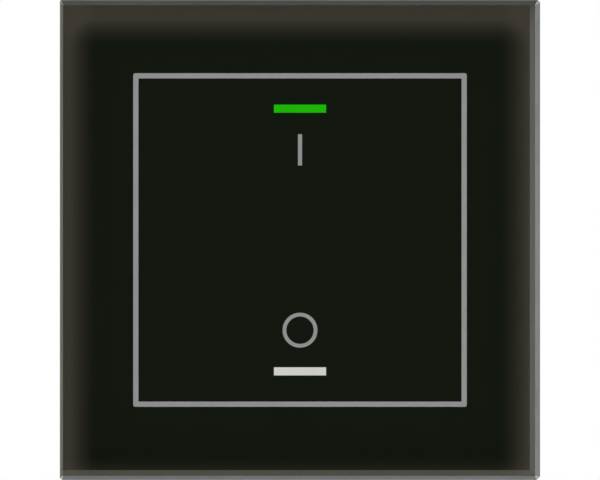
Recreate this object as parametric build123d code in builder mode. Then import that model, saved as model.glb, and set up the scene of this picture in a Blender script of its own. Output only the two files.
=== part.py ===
from build123d import *

import os
from math import cos, radians, sin, sqrt

# A touch light switch for a round wall box with 60 mm screws. A square glass plate
# on a carrier is held by magnets on a steel yoke. Behind it are a touch board under
# a front cover, and a relay module that sits inside the wall box.
#
# Frame: +X right, +Z up, the front faces -Y, and y = 0 is the face of the wall.
# A height is measured from the wall into the room, a depth from the wall into the box.
# Lengths are in millimetres, angles in degrees.

os.makedirs("parts", exist_ok=True)

# Fits and clearances
overrun = 2.0  # how far a cut runs past the material
thread_gap = 0.03  # round a fixed screw
shaft_gap = 0.05  # round a shaft that turns
lead_gap = 0.1  # round a wire lead in its board
loose_gap = 0.3  # between loose mouldings
slide_gap = 0.2  # beside a piece that slides
contact_gap = 0.05  # between ends that almost meet

# Glass plate
plate_side = 92.0
plate_thickness = 5.0
plate_proud = 12.0
front_arris = 1.0
back_arris = 0.5
corner_arris = 0.4

# Printing on the back of the glass
print_margin = 0.3
back_print_thickness = 0.2
graphic_thickness = 0.1
outline_side = 64.0
outline_stroke = 1.0
outline_corner = 0.4
symbol_window_gap = 7.9  # between the centres of a symbol and its window
on_mark_length = 6.0
on_mark_width = 0.78
off_mark_diameter = 6.7
off_mark_stroke = 0.72
window_length = 10.0
window_width = 1.55
window_offset = 25.2

# Adhesive tape between the print and the carrier
tape_thickness = 0.5
tape_inset = 1.5
tape_side_gap = 6.4  # from the carrier's opening to the tape's
tape_end_gap = 1.4
tape_corner = 5.0

# Carrier
carrier_yoke_gap = 1.2
carrier_corner = 7.0
carrier_front_wall = 1.5
carrier_side_wall = 1.8
carrier_wall_gap = 0.4
opening_gap = 0.6
pry_notch_width = 12.0
pry_notch_height = 1.6
rib_width = 3.0
rib_inset = 13.5

# Holding magnets
magnet_inset = 5.7
magnet_diameter = 6.0
magnet_thickness = 2.0
magnet_boss_wall = 1.35
magnet_yoke_gap = 0.2

# Mounting yoke
yoke_rim = 5.5  # outside the centres of the box screws
yoke_thickness = 1.2
yoke_corner = 4.0
cutout_gap = 0.4
box_screw_spacing = 60.0
box_slot_width = 4.0
box_slot_length = 7.0

# Module housing
module_chamfer = 13.0
module_wall = 1.6
module_back_gap = 3.1  # behind the relay
module_edge_bevel = 0.7  # round the back of the cup
label_field_length = 22.0
label_field_height = 5.0
label_field_depth = 0.3
label_field_gap = 2.2  # above the terminal block
flange_lip = 1.0
flange_thickness = 1.8
flange_corner = 3.0
vent_count = 5
vent_pitch = 3.2
vent_width = 1.4
vent_length = 9.0
vent_z = 8.0

# Front cover
cover_print_gap = 0.3
cover_front_wall = 1.4
cover_side_wall = 1.5
cover_end_gap = 0.75  # past a light shroud
cover_edge_round = 0.5
cover_boss_diameter = 5.2

# Cover screws
cover_screw_inset_x = 5.5
cover_screw_inset_z = 4.0
cover_screw_diameter = 2.5
cover_screw_head_diameter = 4.4
cover_screw_head_height = 1.1
cover_screw_sink_diameter = 4.8
cover_screw_tip = 1.0  # past the back of the yoke
recess_length = 2.4
recess_width = 0.6
recess_depth = 0.6

# Touch board
touch_board_thickness = 1.0
touch_board_corner = 1.5
pad_diameter = 9.6
led_length = 2.8
led_width = 1.4
led_height = 0.5
led_spacing = 5.0
guide_overlength = 0.4
guide_width = 2.0
guide_lip = 0.8
guide_lip_thickness = 0.5
guide_gap = 0.1
shroud_gap = 0.15
shroud_wall = 0.6
touch_chip_length = 5.0
touch_chip_width = 4.0
touch_chip_height = 1.2
touch_chip_x = 11.0
touch_chip_z = 4.0
resistor_length = 1.6
resistor_width = 0.8
resistor_height = 0.5
resistor_pitch = 2.4
resistor_rows = 2
resistor_columns = 4
resistor_x = -9.0
resistor_z = 5.0

# Pin header between the boards
pin_count = 5
pin_pitch = 2.54
pin_side = 0.6
pin_solder_length = 0.3
header_pad_gap = 1.5
header_width = 2.5
header_height = 2.5
socket_wall = 1.3
socket_pin_gap = 0.15
pin_reach = 1.6  # into the socket

# Power board
power_board_depth = 2.0
power_board_thickness = 1.6
power_board_gap = 0.3
lead_diameter = 0.6
lead_tip = 0.7  # past the solder side

# Board screws and the posts that they bite in
top_screw_inset = 1.9
low_screw_inset = 2.5  # from the cut corners, along both sides
board_screw_diameter = 2.0
board_screw_length = 6.6
board_screw_head_diameter = 3.8
board_screw_head_height = 1.2
board_screw_hole_gap = 0.15
post_diameter = 4.4
pilot_depth = 8.0

# Terminals
terminal_names = ["neutral", "live", "load"]
terminal_pitch = 7.5
chamber_width = 6.0
chamber_length = 5.6
chamber_height = 8.6
block_wall = 1.5
block_roof = 1.2
block_height = 12.0
block_corner = 1.9
block_gap = 0.4
pole_groove_width = 0.8
pole_groove_depth = 0.6
entry_length = 3.4
entry_diameter = 3.4
clamp_pitch = 0.7  # one turn of a clamp screw
clamp_turns = 2.0
cage_width = 5.4
cage_length = 5.0
cage_side_wall = 0.9
cage_floor = 1.2
cage_roof = 1.0
wire_gap = 2.5
bar_width = 3.2
bar_thickness = 1.0
bar_pin_side = 1.0
bar_shoulder = 1.4
bar_gap = 0.05
clamp_screw_diameter = 3.0
clamp_head_diameter = 4.2
clamp_head_height = 1.6
clamp_head_sink = 0.2
clamp_slot_width = 0.7
clamp_slot_depth = 0.7
driver_hole_diameter = 3.8

# Relay
relay_side_gap = 1.6
relay_block_gap = 5.25
relay_length = 19.0
relay_width = 15.5
relay_height = 15.7
relay_case_wall = 0.7
relay_case_round = 0.5
relay_lift = 0.3
relay_fit_gap = 0.1
relay_base_thickness = 1.8
relay_frame_side_gap = 2.0
relay_contact_space = 4.4
frame_thickness = 1.2
frame_side_inset = 0.4
frame_gap = 0.2
bobbin_flange_thickness = 1.0
bobbin_tube_wall = 0.6
bobbin_height = 8.2
core_undersize = 0.3
pole_overhang = 1.2
pole_thickness = 0.8
armature_inset = 0.2
armature_side_inset = 0.5
armature_thickness = 1.2
armature_tilt = 4.0
armature_swing = 3.5
contact_spring_start = 3.0
contact_spring_overrun = 0.9
contact_spring_width = 4.0
contact_spring_thickness = 0.3
contact_side_gap = 2.2
contact_diameter = 2.4
contact_height = 0.8
contact_rest_gap = 0.05
fixed_blade_thickness = 0.5
fixed_blade_width = 4.0
relay_pin_side = 0.8
relay_pin_inset_left = 1.5
relay_pin_inset_right = 2.6
relay_pin_inset_z = 2.25

# Fuse
fuse_block_gap = 0.8
fuse_z_gap = 2.5  # above the top of the terminal block
fuse_diameter = 8.0
fuse_height = 7.5
fuse_lead_spacing = 5.0

# Varistor
varistor_relay_gap = 2.05
varistor_capacitor_gap = 0.3
varistor_diameter = 7.0
varistor_thickness = 3.6
varistor_standoff = 0.6
varistor_lead_spacing = 5.0

# Line capacitor
line_capacitor_relay_gap = 2.25
line_capacitor_length = 15.0
line_capacitor_width = 5.0
line_capacitor_height = 11.0
line_capacitor_round = 0.6
line_capacitor_lead_spacing = 10.0

# Smoothing capacitor
smoothing_capacitor_side_gap = 0.95
smoothing_capacitor_end_gap = 1.45
smoothing_capacitor_corner_gap = 0.5
smoothing_capacitor_diameter = 6.3
smoothing_capacitor_height = 12.0
smoothing_capacitor_groove = 0.3
smoothing_capacitor_score_width = 0.4
smoothing_capacitor_score_depth = 0.2
smoothing_capacitor_score_inset = 1.0
smoothing_capacitor_lead_spacing = 2.5

# Inductor
inductor_relay_gap = 1.7
inductor_block_gap = 0.8
inductor_diameter = 5.6
inductor_core_diameter = 3.0
inductor_rim = 1.0
inductor_height = 7.0
inductor_lead_spacing = 2.5

# Transformer
transformer_side_gap = 4.1
transformer_inductor_gap = 1.3
transformer_base_length = 14.0
transformer_base_width = 12.6
transformer_base_height = 1.6
transformer_core_length = 13.0
transformer_core_width = 6.0
transformer_core_height = 11.0
transformer_limb = 1.7
transformer_yoke = 1.9
transformer_centre_limb = 3.4
transformer_winding_gap = 0.2
transformer_winding_width = 11.4
transformer_pin_spacing_x = 10.0
transformer_pin_spacing_z = 9.0

# Rectifier and regulator
rectifier_relay_inset = 1.3
rectifier_relay_gap = 0.95
rectifier_length = 6.4
rectifier_width = 4.6
rectifier_height = 2.4
regulator_length = 4.0
regulator_width = 5.0
regulator_height = 1.5

# Outlines worked out from the sizes above: the yoke goes round the box screws, the
# carrier round the yoke, the cover round the lights, the module round its pieces
yoke_side = box_screw_spacing + 2 * yoke_rim
carrier_inner_side = yoke_side + 2 * carrier_yoke_gap
carrier_side = carrier_inner_side + 2 * carrier_side_wall
tape_side = carrier_side - 2 * tape_inset
rib_depth = carrier_yoke_gap - slide_gap
rib_spacing = yoke_side - 2 * rib_inset
magnet_spacing = carrier_inner_side - 2 * magnet_inset
block_stack = module_wall + block_gap + block_height
relay_stack = (
    block_stack
    + relay_block_gap
    + relay_width
    + line_capacitor_relay_gap
    + line_capacitor_width
    + post_diameter
    + module_wall
)
smoothing_capacitor_x = (
    line_capacitor_length / 2 + smoothing_capacitor_side_gap + smoothing_capacitor_diameter / 2
)
smoothing_capacitor_rise = (
    block_stack
    + inductor_block_gap
    + inductor_diameter
    + transformer_inductor_gap
    + transformer_base_width
    + smoothing_capacitor_end_gap
    + smoothing_capacitor_diameter / 2
)
corner_room = smoothing_capacitor_diameter / 2 + smoothing_capacitor_corner_gap + module_wall
corner_reach = smoothing_capacitor_x + smoothing_capacitor_rise + module_chamfer + sqrt(2) * corner_room
# Where the side grows, the corner goes out by all of it and the capacitor down by half
module_side = max(relay_stack, corner_reach * 2 / 3)
guide_length = window_length + guide_overlength
lip_length = guide_length + 2 * guide_lip
lip_width = guide_width + 2 * guide_lip
shroud_inner_length = lip_length + 2 * shroud_gap
shroud_inner_width = lip_width + 2 * shroud_gap
shroud_width = shroud_inner_width + 2 * shroud_wall
flange_width = module_side + 2 * flange_lip
flange_height = 2 * (window_offset + shroud_width / 2 + cover_end_gap + cover_side_wall)
carrier_opening_width = flange_width + 2 * opening_gap
carrier_opening_height = flange_height + 2 * opening_gap
cover_screw_spacing_x = flange_width - 2 * cover_screw_inset_x
cover_screw_spacing_z = module_side - 2 * cover_screw_inset_z
touch_board_width = flange_width - 2 * cover_side_wall - 2 * loose_gap
touch_board_height = flange_height - 2 * cover_side_wall - 2 * loose_gap
symbol_offset = window_offset - symbol_window_gap
header_length = pin_count * pin_pitch
header_z = header_pad_gap + pad_diameter / 2 - symbol_offset

# Heights in front of the wall
glass_back = plate_proud - plate_thickness
graphic_back = glass_back - graphic_thickness
print_back = glass_back - back_print_thickness
tape_back = print_back - tape_thickness
carrier_inside = tape_back - carrier_front_wall
magnet_back = yoke_thickness + magnet_yoke_gap
flange_front = yoke_thickness + flange_thickness
board_front = flange_front + touch_board_thickness
cover_front = print_back - cover_print_gap
cover_inside = cover_front - cover_front_wall
guide_back = cover_inside - guide_lip_thickness
header_back = flange_front - header_height

# Depths inside the wall
power_board_back = power_board_depth + power_board_thickness
module_inside = power_board_back + relay_height + module_back_gap
module_depth = module_inside + module_wall
lead_front = power_board_depth - lead_tip
relay_top = power_board_back + relay_height
relay_base_top = power_board_back + relay_lift + relay_base_thickness
bobbin_start = relay_base_top + frame_thickness
bobbin_end = bobbin_start + bobbin_height
pole_top = bobbin_end + pole_thickness
chamber_end = module_depth - entry_length
chamber_start = chamber_end - chamber_length
terminal_y = chamber_end - chamber_length / 2

# Inside the relay, from its frame across the coil to the contacts
frame_leg_x = relay_case_wall + relay_frame_side_gap - relay_length / 2
bobbin_flange_diameter = (
    relay_length
    - 2 * relay_case_wall
    - relay_frame_side_gap
    - frame_thickness
    - frame_gap
    - relay_contact_space
)
core_diameter = bobbin_flange_diameter / 2 - bobbin_tube_wall - core_undersize
pole_diameter = core_diameter + 2 * pole_overhang
frame_width = bobbin_flange_diameter - 2 * frame_side_inset
armature_width = frame_width - 2 * armature_side_inset
coil_offset = frame_leg_x + frame_thickness + frame_gap + bobbin_flange_diameter / 2
armature_length = frame_thickness + frame_gap + bobbin_flange_diameter - armature_inset
contact_reach = relay_length / 2 - relay_case_wall - contact_side_gap - frame_leg_x
contact_spring_length = contact_reach + contact_spring_overrun - contact_spring_start

# Levels of the terminals, along Z
inner_floor = module_wall - module_side / 2
block_bottom = inner_floor + block_gap
block_top = block_bottom + block_height
chamber_top = block_top - block_roof
chamber_bottom = chamber_top - chamber_height
cage_travel = clamp_pitch * clamp_turns
cage_height = chamber_height - cage_travel - 2 * slide_gap
cage_top = chamber_top - slide_gap
cage_bottom = cage_top - cage_height
bar_top = cage_top - cage_roof - wire_gap
bar_bottom = bar_top - bar_thickness
bar_z = bar_top - bar_thickness / 2
wire_z = bar_top + wire_gap / 2
clamp_head_bottom = block_bottom + clamp_head_sink
clamp_head_top = clamp_head_bottom + clamp_head_height
clamp_tip = bar_bottom - contact_gap
block_length = terminal_pitch * (len(terminal_names) - 1) + chamber_width + 2 * block_wall
terminal_xs = [terminal_pitch * (i - (len(terminal_names) - 1) / 2) for i in range(len(terminal_names))]

# Places on the power board, from its edges and from one piece to the next
board_half = module_side / 2 - module_wall - power_board_gap
relay_x = relay_side_gap + relay_length / 2 - board_half
relay_z = block_top + relay_block_gap + relay_width / 2
relay_right = relay_x + relay_length / 2
relay_upper = relay_z + relay_width / 2
relay_lower = relay_z - relay_width / 2
inductor_x = relay_right + inductor_relay_gap + inductor_diameter / 2
inductor_z = block_top + inductor_block_gap + inductor_diameter / 2
inductor_upper = inductor_z + inductor_diameter / 2
transformer_x = board_half - transformer_side_gap - transformer_base_length / 2
transformer_z = inductor_upper + transformer_inductor_gap + transformer_base_width / 2
fuse_x = block_length / 2 + fuse_block_gap + fuse_diameter / 2
fuse_z = block_top + fuse_z_gap
rectifier_x = relay_x - relay_length / 2 + rectifier_relay_inset + rectifier_length / 2
rectifier_z = relay_lower - rectifier_relay_gap - rectifier_width / 2
line_capacitor_z = relay_upper + line_capacitor_relay_gap + line_capacitor_width / 2
varistor_x = -line_capacitor_length / 2 - varistor_capacitor_gap - varistor_diameter / 2
varistor_z = relay_upper + varistor_relay_gap + varistor_thickness / 2
smoothing_capacitor_z = smoothing_capacitor_rise - module_side / 2
low_screw_offset = (module_side - module_chamfer) / 2 - low_screw_inset
board_screws = [
    (0, board_half - top_screw_inset),
    (-low_screw_offset, -low_screw_offset),
    (low_screw_offset, -low_screw_offset),
]


def at_height(height, x=0, z=0):
    """Plane parallel to the wall, seen from the room: its x is +X and its y is +Z."""
    return Plane(origin=(x, -height, z), x_dir=(1, 0, 0), z_dir=(0, -1, 0))


def at_depth(depth, x=0, z=0):
    """The same plane, placed by its depth inside the wall."""
    return at_height(-depth, x, z)


def lead_pair(x, z, spacing):
    """Places of two leads side by side along X."""
    return [(x - spacing / 2, z), (x + spacing / 2, z)]


# Places of all leads that pass through the power board
fuse_leads = lead_pair(fuse_x, fuse_z, fuse_lead_spacing)
varistor_leads = lead_pair(varistor_x, varistor_z, varistor_lead_spacing)
line_capacitor_leads = lead_pair(0, line_capacitor_z, line_capacitor_lead_spacing)
smoothing_capacitor_leads = lead_pair(
    smoothing_capacitor_x, smoothing_capacitor_z, smoothing_capacitor_lead_spacing
)
inductor_leads = lead_pair(inductor_x, inductor_z, inductor_lead_spacing)
transformer_leads = lead_pair(
    transformer_x, transformer_z - transformer_pin_spacing_z / 2, transformer_pin_spacing_x
) + lead_pair(transformer_x, transformer_z + transformer_pin_spacing_z / 2, transformer_pin_spacing_x)
round_leads = (
    fuse_leads
    + varistor_leads
    + line_capacitor_leads
    + smoothing_capacitor_leads
    + inductor_leads
    + transformer_leads
)
relay_pins = [
    (x, z)
    for x in (relay_pin_inset_left - relay_length / 2, relay_length / 2 - relay_pin_inset_right)
    for z in (relay_pin_inset_z - relay_width / 2, relay_width / 2 - relay_pin_inset_z)
]
square_pins = [(relay_x + x, relay_z + z) for x, z in relay_pins]


# Glass plate: ground edges, bevelled all round, with dubbed corners

with BuildPart() as glass_plate:
    with BuildSketch(at_height(glass_back)):
        Rectangle(plate_side, plate_side)
    extrude(amount=plate_thickness)
    chamfer(glass_plate.faces().sort_by(Axis.Y)[0].edges(), length=front_arris)
    chamfer(glass_plate.faces().sort_by(Axis.Y)[-1].edges(), length=back_arris)
    chamfer(glass_plate.edges().filter_by(Axis.Y), length=corner_arris)

glass_plate.part.label = "glass_plate"
export_step(glass_plate.part, "parts/glass_plate.step")


# Printing: three grey graphics lie against the glass, and the dark print covers them

with BuildSketch() as outline_shape:
    RectangleRounded(outline_side, outline_side, outline_corner)
    Rectangle(
        outline_side - 2 * outline_stroke, outline_side - 2 * outline_stroke, mode=Mode.SUBTRACT
    )

with BuildSketch() as on_mark_shape:
    with Locations((0, symbol_offset)):
        Rectangle(on_mark_width, on_mark_length)

with BuildSketch() as off_mark_shape:
    with Locations((0, -symbol_offset)):
        Circle(off_mark_diameter / 2)
        Circle(off_mark_diameter / 2 - off_mark_stroke, mode=Mode.SUBTRACT)

graphics = {
    "outline_print": outline_shape.sketch,
    "on_symbol_print": on_mark_shape.sketch,
    "off_symbol_print": off_mark_shape.sketch,
}

with BuildPart() as back_print:
    with BuildSketch(at_height(print_back)):
        print_side = plate_side - 2 * back_arris - 2 * print_margin
        Rectangle(print_side, print_side)
        with Locations((0, window_offset), (0, -window_offset)):
            Rectangle(window_length, window_width, mode=Mode.SUBTRACT)
    extrude(amount=back_print_thickness)
    for shape in graphics.values():
        with BuildSketch(at_height(graphic_back)):
            add(shape)
        extrude(amount=graphic_thickness, mode=Mode.SUBTRACT)

back_print.part.label = "back_print"
export_step(back_print.part, "parts/back_print.step")

for name, shape in graphics.items():
    with BuildPart() as graphic:
        with BuildSketch(at_height(graphic_back)):
            add(shape)
        extrude(amount=graphic_thickness)
    graphic.part.label = name
    export_step(graphic.part, f"parts/{name}.step")

for name, z in {"on_window_print": window_offset, "off_window_print": -window_offset}.items():
    with BuildPart() as window_print:
        with BuildSketch(at_height(print_back, z=z)):
            Rectangle(window_length, window_width)
        extrude(amount=back_print_thickness)
    window_print.part.label = name
    export_step(window_print.part, f"parts/{name}.step")


# Adhesive tape: a square ring of thin foam

with BuildPart() as adhesive_tape:
    with BuildSketch(at_height(tape_back)):
        RectangleRounded(tape_side, tape_side, tape_corner)
        Rectangle(
            carrier_opening_width + 2 * tape_side_gap,
            carrier_opening_height + 2 * tape_end_gap,
            mode=Mode.SUBTRACT,
        )
    extrude(amount=tape_thickness)

adhesive_tape.part.label = "adhesive_tape"
export_step(adhesive_tape.part, "parts/adhesive_tape.step")


# Carrier: a shallow tray with an opening for the front cover, and four magnet bosses

with BuildPart() as glass_carrier:
    with BuildSketch(at_height(carrier_wall_gap)):
        RectangleRounded(carrier_side, carrier_side, carrier_corner)
    extrude(amount=tape_back - carrier_wall_gap)
    with BuildSketch(at_height(carrier_inside)):
        RectangleRounded(
            carrier_inner_side, carrier_inner_side, carrier_corner - carrier_side_wall
        )
    extrude(amount=-carrier_inside, mode=Mode.SUBTRACT)
    with BuildSketch(at_height(carrier_inside)):
        Rectangle(carrier_opening_width, carrier_opening_height)
    extrude(amount=carrier_front_wall, mode=Mode.SUBTRACT)
    with BuildSketch(at_height(carrier_wall_gap)):
        for turn in (0, 90, 180, 270):
            with Locations(Location((0, 0, 0), (0, 0, turn))):
                with Locations(((carrier_inner_side - rib_depth) / 2, 0)):
                    with GridLocations(0, rib_spacing, 1, 2):
                        Rectangle(rib_depth, rib_width)
    extrude(amount=carrier_inside - carrier_wall_gap)
    with BuildSketch(at_height(magnet_back)):
        with GridLocations(magnet_spacing, magnet_spacing, 2, 2):
            Circle(magnet_diameter / 2 + magnet_boss_wall)
    extrude(amount=carrier_inside - magnet_back)
    with BuildSketch(at_height(magnet_back)):
        with GridLocations(magnet_spacing, magnet_spacing, 2, 2):
            Circle(magnet_diameter / 2 + contact_gap)
    extrude(amount=magnet_thickness + contact_gap, mode=Mode.SUBTRACT)
    with BuildSketch(at_height(carrier_wall_gap, z=-carrier_side / 2)):
        Rectangle(pry_notch_width, 2 * carrier_side_wall + overrun)
    extrude(amount=pry_notch_height, mode=Mode.SUBTRACT)

glass_carrier.part.label = "glass_carrier"
export_step(glass_carrier.part, "parts/glass_carrier.step")

with BuildPart() as holding_magnets:
    with BuildSketch(at_height(magnet_back)):
        with GridLocations(magnet_spacing, magnet_spacing, 2, 2):
            Circle(magnet_diameter / 2)
    extrude(amount=magnet_thickness)

holding_magnets.part.label = "holding_magnets"
export_step(holding_magnets.part, "parts/holding_magnets.step")


# Mounting yoke: steel sheet with a cut-out for the module and two slots for box screws

with BuildPart() as mounting_yoke:
    with BuildSketch(at_height(0)):
        RectangleRounded(yoke_side, yoke_side, yoke_corner)
        with BuildSketch(mode=Mode.SUBTRACT) as cutout:
            Rectangle(module_side, module_side)
            chamfer(cutout.vertices(), length=module_chamfer)
            offset(amount=cutout_gap, kind=Kind.INTERSECTION)
        with GridLocations(box_screw_spacing, 0, 2, 1):
            SlotOverall(box_slot_length, box_slot_width, mode=Mode.SUBTRACT)
        with GridLocations(cover_screw_spacing_x, cover_screw_spacing_z, 2, 2):
            Circle(cover_screw_diameter / 2 + thread_gap, mode=Mode.SUBTRACT)
    extrude(amount=yoke_thickness)

mounting_yoke.part.label = "mounting_yoke"
export_step(mounting_yoke.part, "parts/mounting_yoke.step")


# Outline of the terminal block, whose lower corners follow the housing

with BuildSketch() as block_outline:
    Rectangle(block_length, block_height)
    chamfer(block_outline.vertices().group_by(Axis.Y)[0], length=block_corner)


# Module housing: an eight-sided cup behind a flange, with posts for the power board

with BuildPart() as module_housing:
    with BuildSketch(at_depth(module_depth)) as body_outline:
        Rectangle(module_side, module_side)
        chamfer(body_outline.vertices(), length=module_chamfer)
    extrude(amount=module_depth + yoke_thickness)
    chamfer(module_housing.faces().sort_by(Axis.Y)[-1].edges(), length=module_edge_bevel)
    with BuildSketch(at_height(yoke_thickness)):
        RectangleRounded(flange_width, flange_height, flange_corner)
    extrude(amount=flange_thickness)
    with BuildSketch(at_depth(module_inside)) as cavity:
        Rectangle(module_side, module_side)
        chamfer(cavity.vertices(), length=module_chamfer)
        offset(amount=-module_wall, kind=Kind.INTERSECTION, mode=Mode.REPLACE)
    extrude(amount=module_inside + flange_front, mode=Mode.SUBTRACT)
    with BuildSketch(at_depth(module_inside)):
        with Locations(*board_screws):
            Circle(post_diameter / 2)
    extrude(amount=module_inside - power_board_back)
    with BuildSketch(at_depth(power_board_back + pilot_depth)):
        with Locations(*board_screws):
            Circle(board_screw_diameter / 2 + thread_gap)
    extrude(amount=pilot_depth, mode=Mode.SUBTRACT)
    with BuildSketch(at_height(yoke_thickness)):
        with GridLocations(cover_screw_spacing_x, cover_screw_spacing_z, 2, 2):
            Circle(cover_screw_diameter / 2 + slide_gap)
    extrude(amount=flange_thickness, mode=Mode.SUBTRACT)
    with BuildSketch(at_depth(module_depth, z=(block_bottom + block_top) / 2)):
        add(block_outline.sketch)
        offset(amount=loose_gap, kind=Kind.INTERSECTION, mode=Mode.REPLACE)
    extrude(amount=module_wall, mode=Mode.SUBTRACT)
    with BuildSketch(at_depth(module_depth, z=vent_z)):
        with GridLocations(vent_pitch, 0, vent_count, 1):
            Rectangle(vent_width, vent_length)
    extrude(amount=module_wall, mode=Mode.SUBTRACT)
    label_field_z = block_top + label_field_gap + label_field_height / 2
    with BuildSketch(at_depth(module_depth, z=label_field_z)):
        Rectangle(label_field_length, label_field_height)
    extrude(amount=label_field_depth, mode=Mode.SUBTRACT)
    with BuildSketch(Plane.XY.offset(-module_side / 2)):
        with Locations(*[(x, terminal_y) for x in terminal_xs]):
            Circle(driver_hole_diameter / 2)
    extrude(amount=module_wall, mode=Mode.SUBTRACT)

module_housing.part.label = "module_housing"
export_step(module_housing.part, "parts/module_housing.step")


# Front cover over the touch board, with slots for the two light guides

with BuildPart() as front_cover:
    with BuildSketch(at_height(flange_front)):
        RectangleRounded(flange_width, flange_height, flange_corner)
    extrude(amount=cover_front - flange_front)
    fillet(front_cover.faces().sort_by(Axis.Y)[0].edges(), radius=cover_edge_round)
    with BuildSketch(at_height(flange_front)):
        RectangleRounded(
            flange_width - 2 * cover_side_wall,
            flange_height - 2 * cover_side_wall,
            flange_corner - cover_side_wall,
        )
    extrude(amount=cover_inside - flange_front, mode=Mode.SUBTRACT)
    with BuildSketch(at_height(flange_front)):
        with GridLocations(cover_screw_spacing_x, cover_screw_spacing_z, 2, 2):
            Circle(cover_boss_diameter / 2)
    extrude(amount=cover_inside - flange_front)
    with BuildSketch(at_height(flange_front)):
        with GridLocations(cover_screw_spacing_x, cover_screw_spacing_z, 2, 2):
            Circle(cover_screw_diameter / 2 + slide_gap)
    extrude(amount=cover_front - flange_front, mode=Mode.SUBTRACT)
    with BuildSketch(at_height(cover_inside)):
        with GridLocations(cover_screw_spacing_x, cover_screw_spacing_z, 2, 2):
            Circle(cover_screw_sink_diameter / 2)
    extrude(amount=cover_front_wall, mode=Mode.SUBTRACT)
    with BuildSketch(at_height(cover_inside)):
        with Locations((0, window_offset), (0, -window_offset)):
            Rectangle(guide_length + 2 * guide_gap, guide_width + 2 * guide_gap)
    extrude(amount=cover_front_wall, mode=Mode.SUBTRACT)

front_cover.part.label = "front_cover"
export_step(front_cover.part, "parts/front_cover.step")

with BuildPart() as cover_screws:
    with BuildSketch(at_depth(cover_screw_tip)):
        with GridLocations(cover_screw_spacing_x, cover_screw_spacing_z, 2, 2):
            Circle(cover_screw_diameter / 2)
    extrude(amount=cover_screw_tip + cover_inside)
    with BuildSketch(at_height(cover_inside)):
        with GridLocations(cover_screw_spacing_x, cover_screw_spacing_z, 2, 2):
            Circle(cover_screw_head_diameter / 2)
    extrude(amount=cover_screw_head_height)
    with BuildSketch(at_height(cover_inside + cover_screw_head_height - recess_depth)):
        with GridLocations(cover_screw_spacing_x, cover_screw_spacing_z, 2, 2):
            Rectangle(recess_length, recess_width)
            Rectangle(recess_width, recess_length)
    extrude(amount=recess_depth, mode=Mode.SUBTRACT)

cover_screws.part.label = "cover_screws"
export_step(cover_screws.part, "parts/cover_screws.step")


# Lights: a clear guide, a dark shroud and a pair of LEDs behind each window

for side, z in {"on": window_offset, "off": -window_offset}.items():
    with BuildPart() as light_guide:
        with BuildSketch(at_height(guide_back, z=z)):
            Rectangle(lip_length, lip_width)
        extrude(amount=guide_lip_thickness)
        with BuildSketch(at_height(cover_inside, z=z)):
            Rectangle(guide_length, guide_width)
        extrude(amount=cover_front_wall)
    light_guide.part.label = f"{side}_light_guide"
    export_step(light_guide.part, f"parts/{side}_light_guide.step")

    with BuildPart() as light_shroud:
        with BuildSketch(at_height(board_front, z=z)):
            Rectangle(shroud_inner_length + 2 * shroud_wall, shroud_width)
            Rectangle(shroud_inner_length, shroud_inner_width, mode=Mode.SUBTRACT)
        extrude(amount=cover_inside - board_front)
    light_shroud.part.label = f"{side}_light_shroud"
    export_step(light_shroud.part, f"parts/{side}_light_shroud.step")

    with BuildPart() as leds:
        with BuildSketch(at_height(board_front, z=z)):
            with GridLocations(led_spacing, 0, 2, 1):
                Rectangle(led_length, led_width)
        extrude(amount=led_height)
    leds.part.label = f"{side}_leds"
    export_step(leds.part, f"parts/{side}_leds.step")


# Touch board, with a soft conductive pad behind each symbol

with BuildPart() as touch_board:
    with BuildSketch(at_height(flange_front)):
        RectangleRounded(touch_board_width, touch_board_height, touch_board_corner)
        with GridLocations(cover_screw_spacing_x, cover_screw_spacing_z, 2, 2):
            Circle(cover_boss_diameter / 2 + loose_gap, mode=Mode.SUBTRACT)
        with Locations((0, header_z)):
            with GridLocations(pin_pitch, 0, pin_count, 1):
                Circle(pin_side / 2 + socket_pin_gap, mode=Mode.SUBTRACT)
    extrude(amount=touch_board_thickness)

touch_board.part.label = "touch_board"
export_step(touch_board.part, "parts/touch_board.step")

for side, z in {"on": symbol_offset, "off": -symbol_offset}.items():
    with BuildPart() as touch_pad:
        with BuildSketch(at_height(board_front, z=z)):
            Circle(pad_diameter / 2)
        extrude(amount=cover_inside - board_front - contact_gap)
    touch_pad.part.label = f"{side}_touch_pad"
    export_step(touch_pad.part, f"parts/{side}_touch_pad.step")

with BuildPart() as touch_chip:
    with BuildSketch(at_height(flange_front - touch_chip_height, touch_chip_x, touch_chip_z)):
        Rectangle(touch_chip_length, touch_chip_width)
    extrude(amount=touch_chip_height)

touch_chip.part.label = "touch_chip"
export_step(touch_chip.part, "parts/touch_chip.step")

with BuildPart() as chip_resistors:
    with BuildSketch(at_height(flange_front - resistor_height, resistor_x, resistor_z)):
        with GridLocations(resistor_pitch, resistor_pitch, resistor_columns, resistor_rows):
            Rectangle(resistor_length, resistor_width)
    extrude(amount=resistor_height)

chip_resistors.part.label = "chip_resistors"
export_step(chip_resistors.part, "parts/chip_resistors.step")


# Pin header under the touch board, and its socket on the power board

with BuildPart() as pin_header:
    with BuildSketch(at_height(header_back, z=header_z)):
        Rectangle(header_length, header_width)
        with GridLocations(pin_pitch, 0, pin_count, 1):
            Rectangle(pin_side, pin_side, mode=Mode.SUBTRACT)
    extrude(amount=header_height)

pin_header.part.label = "pin_header"
export_step(pin_header.part, "parts/pin_header.step")

with BuildPart() as header_pins:
    with BuildSketch(at_height(header_back - pin_reach, z=header_z)):
        with GridLocations(pin_pitch, 0, pin_count, 1):
            Rectangle(pin_side, pin_side)
    extrude(amount=pin_reach + header_height + touch_board_thickness + pin_solder_length)

header_pins.part.label = "header_pins"
export_step(header_pins.part, "parts/header_pins.step")

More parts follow.
